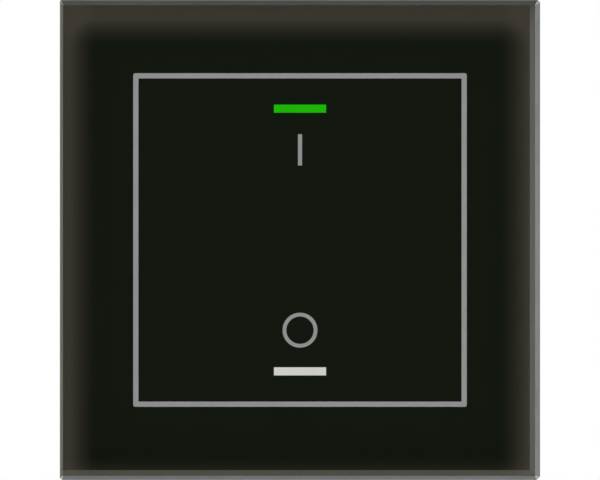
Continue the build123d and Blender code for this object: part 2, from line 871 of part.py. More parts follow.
with BuildPart() as header_socket:
    with BuildSketch(at_depth(power_board_depth, z=header_z)):
        Rectangle(header_length, header_width)
    extrude(amount=power_board_depth + header_back - contact_gap)
    with BuildSketch(at_depth(power_board_depth - socket_wall / 2, z=header_z)):
        with GridLocations(pin_pitch, 0, pin_count, 1):
            Rectangle(pin_side + 2 * socket_pin_gap, pin_side + 2 * socket_pin_gap)
    extrude(amount=power_board_depth + header_back, mode=Mode.SUBTRACT)

header_socket.part.label = "header_socket"
export_step(header_socket.part, "parts/header_socket.step")


# Power board, with a hole for each lead, pin, contact bar and screw

with BuildPart() as power_board:
    with BuildSketch(at_depth(power_board_back)) as board_outline:
        Rectangle(module_side, module_side)
        chamfer(board_outline.vertices(), length=module_chamfer)
        offset(amount=-module_wall - power_board_gap, kind=Kind.INTERSECTION, mode=Mode.REPLACE)
        with Locations(*round_leads):
            Circle(lead_diameter / 2 + lead_gap, mode=Mode.SUBTRACT)
        with Locations(*square_pins):
            Rectangle(relay_pin_side + 2 * lead_gap, relay_pin_side + 2 * lead_gap, mode=Mode.SUBTRACT)
        with Locations(*[(x, bar_z) for x in terminal_xs]):
            Rectangle(bar_pin_side + 2 * lead_gap, bar_pin_side + 2 * lead_gap, mode=Mode.SUBTRACT)
        with Locations(*board_screws):
            Circle(board_screw_diameter / 2 + board_screw_hole_gap, mode=Mode.SUBTRACT)
    extrude(amount=power_board_thickness)

power_board.part.label = "power_board"
export_step(power_board.part, "parts/power_board.step")

with BuildPart() as board_fixings:
    with BuildSketch(at_depth(power_board_depth + board_screw_length)):
        with Locations(*board_screws):
            Circle(board_screw_diameter / 2)
    extrude(amount=board_screw_length)
    with BuildSketch(at_depth(power_board_depth)):
        with Locations(*board_screws):
            Circle(board_screw_head_diameter / 2)
    extrude(amount=board_screw_head_height)
    with BuildSketch(at_depth(power_board_depth - board_screw_head_height + recess_depth)):
        with Locations(*board_screws):
            Rectangle(recess_length, recess_width)
            Rectangle(recess_width, recess_length)
    extrude(amount=recess_depth, mode=Mode.SUBTRACT)

board_fixings.part.label = "board_screws"
export_step(board_fixings.part, "parts/board_screws.step")


# Terminal block: a chamber for each clamp, a wire entry behind it, a bar slot in front
# and a groove between one pole and the next

with BuildPart() as terminal_block:
    with BuildSketch(at_depth(module_depth, z=(block_bottom + block_top) / 2)):
        add(block_outline.sketch)
    extrude(amount=module_depth - power_board_back)
    with BuildSketch(at_depth(chamber_end, z=(chamber_bottom + chamber_top) / 2)):
        with Locations(*[(x, 0) for x in terminal_xs]):
            Rectangle(chamber_width, chamber_height)
    extrude(amount=chamber_length, mode=Mode.SUBTRACT)
    with BuildSketch(at_depth(module_depth, z=wire_z)):
        with Locations(*[(x, 0) for x in terminal_xs]):
            Circle(entry_diameter / 2)
    extrude(amount=entry_length, mode=Mode.SUBTRACT)
    with BuildSketch(at_depth(module_depth, z=(block_bottom + block_top) / 2)):
        with GridLocations(terminal_pitch, 0, len(terminal_names) - 1, 1):
            Rectangle(pole_groove_width, block_height)
    extrude(amount=pole_groove_depth, mode=Mode.SUBTRACT)
    with BuildSketch(at_depth(chamber_start, z=bar_z)):
        with Locations(*[(x, 0) for x in terminal_xs]):
            Rectangle(bar_width + 2 * bar_gap, bar_thickness + 2 * bar_gap)
    extrude(amount=chamber_start - power_board_back - bar_shoulder, mode=Mode.SUBTRACT)
    with BuildSketch(at_depth(power_board_back + bar_shoulder, z=bar_z)):
        with Locations(*[(x, 0) for x in terminal_xs]):
            Rectangle(bar_pin_side + 2 * bar_gap, bar_pin_side + 2 * bar_gap)
    extrude(amount=bar_shoulder, mode=Mode.SUBTRACT)
    with BuildSketch(Plane.XY.offset(block_bottom)):
        with Locations(*[(x, terminal_y) for x in terminal_xs]):
            Circle(clamp_head_diameter / 2 + slide_gap)
    extrude(amount=chamber_bottom - block_bottom, mode=Mode.SUBTRACT)

terminal_block.part.label = "terminal_block"
export_step(terminal_block.part, "parts/terminal_block.step")

with BuildPart() as contact_bars:
    with BuildSketch(at_depth(chamber_end - slide_gap, z=bar_z)):
        with Locations(*[(x, 0) for x in terminal_xs]):
            Rectangle(bar_width, bar_thickness)
    extrude(amount=chamber_end - slide_gap - power_board_back - bar_shoulder)
    with BuildSketch(at_depth(power_board_back + bar_shoulder, z=bar_z)):
        with Locations(*[(x, 0) for x in terminal_xs]):
            Rectangle(bar_pin_side, bar_pin_side)
    extrude(amount=bar_shoulder + power_board_thickness + lead_tip)

contact_bars.part.label = "contact_bars"
export_step(contact_bars.part, "parts/contact_bars.step")

for name, x in zip(terminal_names, terminal_xs):
    with BuildPart() as clamp_cage:
        with BuildSketch(Plane.XY.offset(cage_bottom)):
            with Locations((x, terminal_y)):
                Rectangle(cage_width, cage_length)
        extrude(amount=cage_height)
        with BuildSketch(at_depth(chamber_end, x, (cage_bottom + cage_floor + cage_top - cage_roof) / 2)):
            Rectangle(cage_width - 2 * cage_side_wall, cage_height - cage_floor - cage_roof)
        extrude(amount=chamber_length, mode=Mode.SUBTRACT)
        with BuildSketch(Plane.XY.offset(cage_bottom)):
            with Locations((x, terminal_y)):
                Circle(clamp_screw_diameter / 2 + shaft_gap)
        extrude(amount=cage_floor, mode=Mode.SUBTRACT)
    clamp_cage.part.label = f"{name}_clamp_cage"
    export_step(clamp_cage.part, f"parts/{name}_clamp_cage.step")

    with BuildPart() as clamp_screw:
        with BuildSketch(Plane.XY.offset(clamp_head_bottom)):
            with Locations((x, terminal_y)):
                Circle(clamp_head_diameter / 2)
        extrude(amount=clamp_head_height)
        with BuildSketch(Plane.XY.offset(clamp_head_top)):
            with Locations((x, terminal_y)):
                Circle(clamp_screw_diameter / 2)
        extrude(amount=clamp_tip - clamp_head_top)
        with BuildSketch(Plane.XY.offset(clamp_head_bottom)):
            with Locations((x, terminal_y)):
                Rectangle(clamp_head_diameter + overrun, clamp_slot_width)
        extrude(amount=clamp_slot_depth, mode=Mode.SUBTRACT)
    clamp_screw.part.label = f"{name}_clamp_screw"
    export_step(clamp_screw.part, f"parts/{name}_clamp_screw.step")


# Relay: base, case, pins and coil

with BuildPart() as relay_case:
    with BuildSketch(at_depth(relay_top, relay_x, relay_z)):
        Rectangle(relay_length, relay_width)
    extrude(amount=relay_height - relay_lift)
    fillet(relay_case.faces().sort_by(Axis.Y)[-1].edges(), radius=relay_case_round)
    with BuildSketch(at_depth(relay_top - relay_case_wall, relay_x, relay_z)):
        Rectangle(relay_length - 2 * relay_case_wall, relay_width - 2 * relay_case_wall)
    extrude(amount=relay_height - relay_lift - relay_case_wall, mode=Mode.SUBTRACT)

relay_case.part.label = "relay_case"
export_step(relay_case.part, "parts/relay_case.step")

with BuildPart() as relay_base:
    with BuildSketch(at_depth(relay_base_top, relay_x, relay_z)):
        Rectangle(
            relay_length - 2 * relay_case_wall - 2 * relay_fit_gap,
            relay_width - 2 * relay_case_wall - 2 * relay_fit_gap,
        )
        with Locations(*relay_pins):
            Rectangle(relay_pin_side, relay_pin_side, mode=Mode.SUBTRACT)
    extrude(amount=relay_base_thickness)

relay_base.part.label = "relay_base"
export_step(relay_base.part, "parts/relay_base.step")

with BuildPart() as relay_pin_set:
    with BuildSketch(at_depth(relay_base_top, relay_x, relay_z)):
        with Locations(*relay_pins):
            Rectangle(relay_pin_side, relay_pin_side)
    extrude(amount=relay_base_top - lead_front)

relay_pin_set.part.label = "relay_pins"
export_step(relay_pin_set.part, "parts/relay_pins.step")

with BuildPart() as relay_frame:
    with BuildSketch(at_depth(bobbin_start, relay_x, relay_z)):
        with Locations((frame_leg_x, 0)):
            foot_length = coil_offset + bobbin_flange_diameter / 2 - frame_leg_x
            Rectangle(foot_length, frame_width, align=(Align.MIN, Align.CENTER))
        with Locations((coil_offset, 0)):
            Circle(core_diameter / 2 + thread_gap, mode=Mode.SUBTRACT)
    extrude(amount=frame_thickness)
    with BuildSketch(at_depth(pole_top, relay_x, relay_z)):
        with Locations((frame_leg_x, 0)):
            Rectangle(frame_thickness, frame_width, align=(Align.MIN, Align.CENTER))
    extrude(amount=pole_top - bobbin_start)

relay_frame.part.label = "relay_frame"
export_step(relay_frame.part, "parts/relay_frame.step")

coil_x = relay_x + coil_offset
bobbin_bore = core_diameter / 2 + thread_gap
bobbin_tube = bobbin_bore + bobbin_tube_wall

with BuildPart() as relay_bobbin:
    with BuildSketch(at_depth(bobbin_end, coil_x, relay_z)):
        Circle(bobbin_tube)
    extrude(amount=bobbin_height)
    with BuildSketch(at_depth(bobbin_end, coil_x, relay_z)):
        Circle(bobbin_flange_diameter / 2)
    extrude(amount=bobbin_flange_thickness)
    with BuildSketch(at_depth(bobbin_start + bobbin_flange_thickness, coil_x, relay_z)):
        Circle(bobbin_flange_diameter / 2)
    extrude(amount=bobbin_flange_thickness)
    with BuildSketch(at_depth(bobbin_end, coil_x, relay_z)):
        Circle(bobbin_bore)
    extrude(amount=bobbin_height, mode=Mode.SUBTRACT)

relay_bobbin.part.label = "relay_bobbin"
export_step(relay_bobbin.part, "parts/relay_bobbin.step")

with BuildPart() as relay_winding:
    with BuildSketch(at_depth(bobbin_end - bobbin_flange_thickness - contact_gap, coil_x, relay_z)):
        Circle(bobbin_flange_diameter / 2 - slide_gap)
        Circle(bobbin_tube + contact_gap, mode=Mode.SUBTRACT)
    extrude(amount=bobbin_height - 2 * bobbin_flange_thickness - 2 * contact_gap)

relay_winding.part.label = "relay_winding"
export_step(relay_winding.part, "parts/relay_winding.step")

with BuildPart() as relay_core:
    with BuildSketch(at_depth(pole_top, coil_x, relay_z)):
        Circle(core_diameter / 2)
    extrude(amount=pole_top - relay_base_top)
    with BuildSketch(at_depth(pole_top, coil_x, relay_z)):
        Circle(pole_diameter / 2)
    extrude(amount=pole_thickness)

relay_core.part.label = "relay_core"
export_step(relay_core.part, "parts/relay_core.step")


# Relay: armature on the edge of the frame, tilted off the pole, with its contact

pivot_x = relay_x + frame_leg_x
arm_direction = (cos(radians(armature_tilt)), sin(radians(armature_tilt)), 0)
arm_plane = Plane(origin=(pivot_x, pole_top, relay_z), x_dir=arm_direction, z_dir=(0, 0, 1))
spring_level = contact_gap + armature_thickness

with BuildPart() as relay_armature:
    with BuildSketch(arm_plane):
        with Locations((0, contact_gap)):
            Rectangle(armature_length, armature_thickness, align=(Align.MIN, Align.MIN))
    extrude(amount=armature_width / 2, both=True)

relay_armature.part.label = "relay_armature"
export_step(relay_armature.part, "parts/relay_armature.step")

with BuildPart() as contact_spring:
    with BuildSketch(arm_plane):
        with Locations((contact_spring_start, spring_level)):
            Rectangle(
                contact_spring_length, contact_spring_thickness, align=(Align.MIN, Align.MIN)
            )
    extrude(amount=contact_spring_width / 2, both=True)

contact_spring.part.label = "relay_contact_spring"
export_step(contact_spring.part, "parts/relay_contact_spring.step")

with BuildPart() as moving_contact:
    with BuildSketch(arm_plane):
        with Locations((contact_reach, spring_level)):
            Rectangle(contact_diameter / 2, contact_height, align=(Align.MIN, Align.MAX))
    contact_edge = (
        pivot_x + contact_reach * cos(radians(armature_tilt)),
        pole_top + contact_reach * sin(radians(armature_tilt)),
        relay_z,
    )
    contact_axis = Axis(contact_edge, (-sin(radians(armature_tilt)), cos(radians(armature_tilt)), 0))
    revolve(axis=contact_axis)

moving_contact.part.label = "relay_moving_contact"
export_step(moving_contact.part, "parts/relay_moving_contact.step")

closed_angle = radians(armature_tilt - armature_swing)
closed_contact_depth = (
    pole_top
    + (contact_reach - contact_diameter / 2) * sin(closed_angle)
    + (spring_level - contact_height) * cos(closed_angle)
)
fixed_contact_top = closed_contact_depth - contact_rest_gap
fixed_contact_x = pivot_x + contact_reach

with BuildPart() as fixed_contact:
    with BuildSketch(at_depth(fixed_contact_top, fixed_contact_x, relay_z)):
        Circle(contact_diameter / 2)
    extrude(amount=contact_height)
    with BuildSketch(at_depth(fixed_contact_top - contact_height, fixed_contact_x, relay_z)):
        Rectangle(contact_diameter, fixed_blade_width)
    extrude(amount=fixed_blade_thickness)
    with BuildSketch(
        at_depth(
            fixed_contact_top - contact_height, fixed_contact_x + contact_diameter / 2, relay_z
        )
    ):
        Rectangle(fixed_blade_thickness, fixed_blade_width, align=(Align.MAX, Align.CENTER))
    extrude(amount=fixed_contact_top - contact_height - relay_base_top)

fixed_contact.part.label = "relay_fixed_contact"
export_step(fixed_contact.part, "parts/relay_fixed_contact.step")


# Fuse, varistor and capacitors

with BuildPart() as fuse:
    with BuildSketch(at_depth(power_board_back + fuse_height, fuse_x, fuse_z)):
        Circle(fuse_diameter / 2)
    extrude(amount=fuse_height)
    with BuildSketch(at_depth(power_board_back)):
        with Locations(*fuse_leads):
            Circle(lead_diameter / 2)
    extrude(amount=power_board_back - lead_front)

fuse.part.label = "fuse"
export_step(fuse.part, "parts/fuse.step")

with BuildPart() as varistor:
    varistor_centre = power_board_back + varistor_standoff + varistor_diameter / 2
    with BuildSketch(Plane.XY.offset(varistor_z)):
        with Locations((varistor_x, varistor_centre)):
            Circle(varistor_diameter / 2)
    extrude(amount=varistor_thickness / 2, both=True)
    with BuildSketch(at_depth(varistor_centre)):
        with Locations(*varistor_leads):
            Circle(lead_diameter / 2)
    extrude(amount=varistor_centre - lead_front)

varistor.part.label = "varistor"
export_step(varistor.part, "parts/varistor.step")

with BuildPart() as line_capacitor:
    with BuildSketch(at_depth(power_board_back + line_capacitor_height, z=line_capacitor_z)):
        RectangleRounded(line_capacitor_length, line_capacitor_width, line_capacitor_round)
    extrude(amount=line_capacitor_height)
    with BuildSketch(at_depth(power_board_back)):
        with Locations(*line_capacitor_leads):
            Circle(lead_diameter / 2)
    extrude(amount=power_board_back - lead_front)

line_capacitor.part.label = "line_capacitor"
export_step(line_capacitor.part, "parts/line_capacitor.step")

with BuildPart() as smoothing_capacitor:
    capacitor_end = power_board_back + smoothing_capacitor_height
    with BuildSketch(at_depth(capacitor_end, smoothing_capacitor_x, smoothing_capacitor_z)):
        Circle(smoothing_capacitor_diameter / 2)
    extrude(amount=smoothing_capacitor_height)
    fillet(smoothing_capacitor.edges().group_by(Axis.Y)[-1], radius=smoothing_capacitor_groove)
    with BuildSketch(at_depth(capacitor_end, smoothing_capacitor_x, smoothing_capacitor_z)):
        score_length = smoothing_capacitor_diameter - 2 * smoothing_capacitor_score_inset
        Rectangle(score_length, smoothing_capacitor_score_width)
        Rectangle(smoothing_capacitor_score_width, score_length)
    extrude(amount=smoothing_capacitor_score_depth, mode=Mode.SUBTRACT)
    with BuildSketch(at_depth(power_board_back)):
        with Locations(*smoothing_capacitor_leads):
            Circle(lead_diameter / 2)
    extrude(amount=power_board_back - lead_front)

smoothing_capacitor.part.label = "smoothing_capacitor"
export_step(smoothing_capacitor.part, "parts/smoothing_capacitor.step")


# Inductor: a drum core with leads

with BuildPart() as inductor:
    inductor_end = power_board_back + inductor_height
    with BuildSketch(at_depth(inductor_end, inductor_x, inductor_z)):
        Circle(inductor_core_diameter / 2)
    extrude(amount=inductor_height)
    for rim_depth in (inductor_end, power_board_back + inductor_rim):
        with BuildSketch(at_depth(rim_depth, inductor_x, inductor_z)):
            Circle(inductor_diameter / 2)
        extrude(amount=inductor_rim)
    with BuildSketch(at_depth(power_board_back)):
        with Locations(*inductor_leads):
            Circle(lead_diameter / 2)
    extrude(amount=power_board_back - lead_front)

inductor.part.label = "inductor"
export_step(inductor.part, "parts/inductor.step")

with BuildPart() as inductor_winding:
    with BuildSketch(at_depth(inductor_end - inductor_rim - contact_gap, inductor_x, inductor_z)):
        Circle(inductor_diameter / 2 - slide_gap)
        Circle(inductor_core_diameter / 2 + contact_gap, mode=Mode.SUBTRACT)
    extrude(amount=inductor_height - 2 * inductor_rim - 2 * contact_gap)

inductor_winding.part.label = "inductor_winding"
export_step(inductor_winding.part, "parts/inductor_winding.step")


# Transformer: a base with four pins, a ferrite core with a centre limb, and its winding

core_start = power_board_back + transformer_base_height
core_end = core_start + transformer_core_height
window_height = transformer_core_height - 2 * transformer_yoke
core_window_width = (transformer_core_length - transformer_centre_limb) / 2 - transformer_limb
core_window_x = (transformer_centre_limb + core_window_width) / 2

with BuildPart() as transformer_base:
    with BuildSketch(at_depth(core_start, transformer_x, transformer_z)):
        Rectangle(transformer_base_length, transformer_base_width)
    extrude(amount=transformer_base_height)
    with BuildSketch(at_depth(power_board_back)):
        with Locations(*transformer_leads):
            Circle(lead_diameter / 2)
    extrude(amount=power_board_back - lead_front)

transformer_base.part.label = "transformer_base"
export_step(transformer_base.part, "parts/transformer_base.step")

with BuildPart() as transformer_core:
    with BuildSketch(Plane.XY.offset(transformer_z)):
        with Locations((transformer_x, (core_start + core_end) / 2)):
            Rectangle(transformer_core_length, transformer_core_height)
            with GridLocations(2 * core_window_x, 0, 2, 1):
                Rectangle(core_window_width, window_height, mode=Mode.SUBTRACT)
    extrude(amount=transformer_core_width / 2, both=True)

transformer_core.part.label = "transformer_core"
export_step(transformer_core.part, "parts/transformer_core.step")

with BuildPart() as transformer_winding:
    with BuildSketch(
        at_depth(core_end - transformer_yoke - transformer_winding_gap, transformer_x, transformer_z)
    ):
        Rectangle(
            transformer_core_length - 2 * transformer_limb - 2 * transformer_winding_gap,
            transformer_winding_width,
        )
        Rectangle(
            transformer_centre_limb + 2 * transformer_winding_gap,
            transformer_core_width + 2 * transformer_winding_gap,
            mode=Mode.SUBTRACT,
        )
    extrude(amount=window_height - 2 * transformer_winding_gap)

transformer_winding.part.label = "transformer_winding"
export_step(transformer_winding.part, "parts/transformer_winding.step")


# Rectifier behind the power board, regulator in front of it

with BuildPart() as rectifier:
    with BuildSketch(at_depth(power_board_back + rectifier_height, rectifier_x, rectifier_z)):
        Rectangle(rectifier_length, rectifier_width)
    extrude(amount=rectifier_height)

rectifier.part.label = "rectifier"
export_step(rectifier.part, "parts/rectifier.step")

with BuildPart() as regulator_chip:
    with BuildSketch(at_depth(power_board_depth, transformer_x, transformer_z)):
        Rectangle(regulator_length, regulator_width)
    extrude(amount=regulator_height)

regulator_chip.part.label = "regulator_chip"
export_step(regulator_chip.part, "parts/regulator_chip.step")
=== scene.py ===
"""Dresses the packed touch light switch: glass plate, prints, lit windows and finishes."""

import math

import bmesh
import bpy
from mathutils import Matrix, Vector


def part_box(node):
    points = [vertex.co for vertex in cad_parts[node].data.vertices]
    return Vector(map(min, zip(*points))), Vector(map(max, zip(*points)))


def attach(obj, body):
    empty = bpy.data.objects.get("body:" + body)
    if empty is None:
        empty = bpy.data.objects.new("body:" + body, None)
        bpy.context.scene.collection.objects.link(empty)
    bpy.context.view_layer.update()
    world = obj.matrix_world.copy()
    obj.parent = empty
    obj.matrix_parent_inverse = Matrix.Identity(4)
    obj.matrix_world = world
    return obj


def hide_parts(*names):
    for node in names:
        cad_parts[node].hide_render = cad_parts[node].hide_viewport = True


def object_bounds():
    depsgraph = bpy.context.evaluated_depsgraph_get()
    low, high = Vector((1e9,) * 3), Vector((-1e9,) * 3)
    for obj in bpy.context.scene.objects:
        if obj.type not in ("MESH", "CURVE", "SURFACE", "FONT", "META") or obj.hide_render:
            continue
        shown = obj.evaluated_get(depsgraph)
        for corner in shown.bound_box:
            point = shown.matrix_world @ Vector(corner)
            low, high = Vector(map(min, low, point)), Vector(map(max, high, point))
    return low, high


bl_info = {
    "name": "Touch Light Switch",
    "version": (1, 0, 0),
    "blender": (4, 5, 0),
    "location": "3D View > Sidebar > Touch Switch",
    "description": "Glass plate, prints, lit windows and finishes of a touch light switch",
    "category": "Add Mesh",
}

MM = 0.001
IMAGE_WIDTH = 600
IMAGE_HEIGHT = 480

# Sockets of a Mix node that mixes colours
MIX_A, MIX_B, MIX_RESULT = 6, 7, 2
WHITE = (1, 1, 1, 1)
# Rays of a Bevel node, which rounds edges in the shading so that they catch the light
BEVEL_SAMPLES = 4

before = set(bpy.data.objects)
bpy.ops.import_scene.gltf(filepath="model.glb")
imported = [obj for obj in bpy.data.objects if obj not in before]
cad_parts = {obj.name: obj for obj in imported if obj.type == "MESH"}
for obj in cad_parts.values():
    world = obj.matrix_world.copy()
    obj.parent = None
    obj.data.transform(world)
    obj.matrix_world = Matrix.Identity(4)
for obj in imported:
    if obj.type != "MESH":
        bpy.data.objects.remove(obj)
CAD_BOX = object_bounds()


def linear(hex_colour):
    """Turns an sRGB hex value to the linear colour that shaders take."""
    channels = [int(hex_colour[start : start + 2], 16) / 255 for start in (1, 3, 5)]
    return tuple(c / 12.92 if c <= 0.04045 else ((c + 0.055) / 1.055) ** 2.4 for c in channels)


def length_property(name, description, millimetres):
    return bpy.props.FloatProperty(
        name=name, description=description, default=millimetres * MM, subtype="DISTANCE", unit="LENGTH"
    )


def colour_property(name, description, hex_colour):
    return bpy.props.FloatVectorProperty(
        name=name, description=description, default=linear(hex_colour), subtype="COLOR", min=0, max=1
    )


def level_property(name, description, default):
    return bpy.props.FloatProperty(name=name, description=description, default=default, min=0)


class GlassPlateSettings(bpy.types.PropertyGroup):
    """Bevels and colours of the glass plate."""

    left_bevel: length_property("Left bevel", "Width of the ground bevel on the left", 0.62)
    right_bevel: length_property("Right bevel", "Width of the ground bevel on the right", 1.0)
    top_bevel: length_property("Top bevel", "Width of the ground bevel at the top", 1.05)
    bottom_bevel: length_property("Bottom bevel", "Width of the ground bevel at the bottom", 0.85)
    bevel_depth: length_property("Bevel depth", "How far the front bevels run back", 1.0)
    back_bevel: length_property("Back bevel", "Width of the bevels round the back face", 0.5)
    face_cut: length_property("Face cut", "Width of the corners' facets where they meet the face", 0.03)
    top_left_cut: length_property("Top left cut", "Width of the facet at the top left", 0.12)
    top_right_cut: length_property("Top right cut", "Width of the facet at the top right", 0.42)
    bottom_left_cut: length_property("Bottom left cut", "Width of the facet at the lower left", 0.42)
    bottom_right_cut: length_property("Bottom right cut", "Width of the facet at the lower right", 0.68)
    glass_colour: colour_property("Glass", "Tint of the clear glass", "#f8fbf9")
    glass_ior: level_property("Glass IOR", "Refraction and mirror strength of the glass", 1.52)
    # The four edge colours are one ground glass with painted light and shade in it: lighter on the right
    # and at the bottom, darker on the left and at the top.
    left_edge_painted_shading: colour_property("Left edge", "Ground edge on the left", "#5c5c54")
    right_edge_painted_shading: colour_property("Right edge", "Ground edge on the right", "#808380")
    top_edge_painted_shading: colour_property("Top edge", "Ground edge at the top", "#3e3f3a")
    bottom_edge_painted_shading: colour_property("Bottom edge", "Ground edge at the bottom", "#6f7370")
    # The corners' pale cream is a painted highlight: the same ground glass as the edges, made much lighter
    # so the small facets glint.
    corner_painted_highlight: colour_property("Corners", "Dubbed corners of the plate", "#b1aea3")


class PrintSettings(bpy.types.PropertyGroup):
    """The prints on the back of the glass, from behind to in front."""

    bond: length_property("Bond", "How far the dark print is fused into the glass", 0.02)
    step: length_property("Step", "How far one print stands in front of the next", 0.04)
    # The right and bottom strips are flat ink lighter than the dark print, on two sides only. They are
    # painted light along those edges, not bare glass.
    right_painted_light_width: length_property("Right margin", "Bare strip along the right", 0.9)
    bottom_painted_light_width: length_property("Bottom margin", "Bare strip along the bottom", 1.0)
    outline_stroke: length_property("Outline stroke", "Line width of the square outline", 1.0)
    outline_corner: length_property("Outline corner", "Corner radius of the square outline", 0.4)
    outline_inner_corner: length_property("Inner corner", "Corner radius inside the outline", 0.1)
    off_symbol_stroke: length_property("Ring stroke", "Line width of the off symbol", 0.72)
    dark_colour: colour_property("Dark print", "Ceramic print over the whole back", "#141911")
    grey_colour: colour_property("Grey print", "Outline and symbols", "#959294")
    # Painted light: the right strip is lighter than the bottom one.
    right_painted_light_colour: colour_property("Right margin", "Bare strip on the right", "#61625e")
    bottom_painted_light_colour: colour_property("Bottom margin", "Bare strip at the bottom", "#585851")
    on_light_colour: colour_property("On light", "Glow of the upper window", "#1db508")
    off_light_colour: colour_property("Off light", "Glow of the lower window", "#cfcec8")
    light_level: level_property("Light level", "Brightness of the lit windows", 1.0)


class FinishSettings(bpy.types.PropertyGroup):
    """Colours of the moulded and metal pieces behind the glass."""

    carrier_colour: colour_property("Carrier", "Black moulded plastic", "#1b1b1d")
    cover_colour: colour_property("Cover", "White moulded plastic", "#d9d9d3")
    housing_colour: colour_property("Housing", "Grey flame-retardant nylon", "#55585c")
    block_colour: colour_property("Terminal block", "Natural nylon", "#cfcdc0")
    zinc_colour: colour_property("Zinc", "Zinc plating on sheet steel", "#b4b8bd")
    screw_colour: colour_property("Screws", "Bright zinc plating", "#c4c5c4")
    brass_colour: colour_property("Brass", "Plain brass", "#c2a04f")
    copper_colour: colour_property("Copper", "Enamelled copper wire", "#b5652f")
    laminate_colour: colour_property("Laminate", "Solder mask on glass laminate", "#1d5a36")


class StageSettings(bpy.types.PropertyGroup):
    """Camera, floor, light and the card that the glass mirrors."""

    camera_distance: length_property("Camera distance", "From the lens to the glass", 1500)
    picture_fill: level_property("Picture fill", "Picture height over plate height", 0.9995)
    sensor_width: level_property("Sensor width", "Width of the camera's sensor in mm", 36)
    floor_drop: length_property("Floor drop", "Floor below the plate", 30)
    floor_side: length_property("Floor side", "Side of the square floor", 900)
    sky_level: level_property("Sky level", "Light from all round", 0.8)
    key_level: level_property("Key level", "Light from the upper left", 0.9)
    key_direction: bpy.props.FloatVectorProperty(
        name="Key direction",
        description="The way the key light shines",
        default=(0.35, 0.75, -0.56),
        subtype="DIRECTION",
    )
    key_spread: bpy.props.FloatProperty(
        name="Key spread", description="Size of the key light", default=math.radians(60), subtype="ANGLE"
    )
    floor_lift: level_property("Floor lift", "Added to the floor for the camera", 0.12)
    card_distance: length_property("Card distance", "From the glass to the card", 1000)
    card_side: length_property("Card side", "Side of the card", 400)
    shade_left: length_property("Shade left", "Left end of the dark zone on the glass", -38.4)
    shade_right: length_property("Shade right", "Right end of the dark zone on the glass", 37.6)
    shade_bottom: length_property("Shade bottom", "Lower end of the dark zone on the glass", -40.8)
    shade_top: length_property("Shade top", "Upper end of the dark zone on the glass", 36.8)
    fade_left: length_property("Left fade", "Width of the dark zone's soft edge on the left", 5.75)
    fade_right: length_property("Right fade", "Width of the dark zone's soft edge on the right", 6.1)
    fade_bottom: length_property("Bottom fade", "Width of the dark zone's soft lower edge", 6.4)
    fade_top: length_property("Top fade", "Width of the dark zone's soft upper edge", 5.5)
    card_corner: level_property("Card corner", "Brightness where two bright sides of the card meet", 1.2)
    card_colour: colour_property("Card", "Card outside the dark zone", "#f0dfc9")


def add_node(tree, kind, settings=None, inputs=None):
    """Adds a node, sets its properties and fills its inputs with values or other nodes' outputs."""
    node = tree.nodes.new(kind)
    for name, value in (settings or {}).items():
        setattr(node, name, value)
    for name, value in (inputs or {}).items():
        if isinstance(value, bpy.types.NodeSocket):
            tree.links.new(value, node.inputs[name])
        else:
            node.inputs[name].default_value = value
    return node


def opaque(colour):
    return (*colour, 1.0)


def shade_of(colour, factor):
    return tuple(min(channel * factor, 1.0) for channel in colour)


def per_feature(millimetres):
    """Texture scale that gives features of this real size."""
    return 1 / (millimetres * MM)


def new_material(name):
    """A material with nothing but an output, its node tree, and the socket of its surface."""
    material = bpy.data.materials.new(name)
    material.use_nodes = True
    tree = material.node_tree
    tree.nodes.clear()
    return material, tree, add_node(tree, "ShaderNodeOutputMaterial").inputs["Surface"]


def toughened_glass(colour, ior):
    """Polished float glass: clear, faintly green, with a sharp faint mirror on its face.

    Lamps and the room's light pass straight through it, so that they light the prints.
    """
    material, tree, surface = new_material("toughened_float_glass")
    paths = add_node(tree, "ShaderNodeLightPath")
    light_ray = add_node(
        tree,
        "ShaderNodeMath",
        {"operation": "MAXIMUM"},
        {0: paths.outputs["Is Shadow Ray"], 1: paths.outputs["Is Diffuse Ray"]},
    )
    clear = add_node(tree, "ShaderNodeBsdfTransparent", inputs={"Color": opaque(colour)})
    glass = add_node(
        tree,
        "ShaderNodeBsdfPrincipled",
        inputs={
            "Base Color": opaque(colour),
            "Roughness": 0.0,
            "IOR": ior,
            "Transmission Weight": 1.0,
        },
    )
    shader = add_node(
        tree,
        "ShaderNodeMixShader",
        inputs={0: light_ray.outputs[0], 1: glass.outputs[0], 2: clear.outputs[0]},
    )
    tree.links.new(shader.outputs[0], surface)
    return material


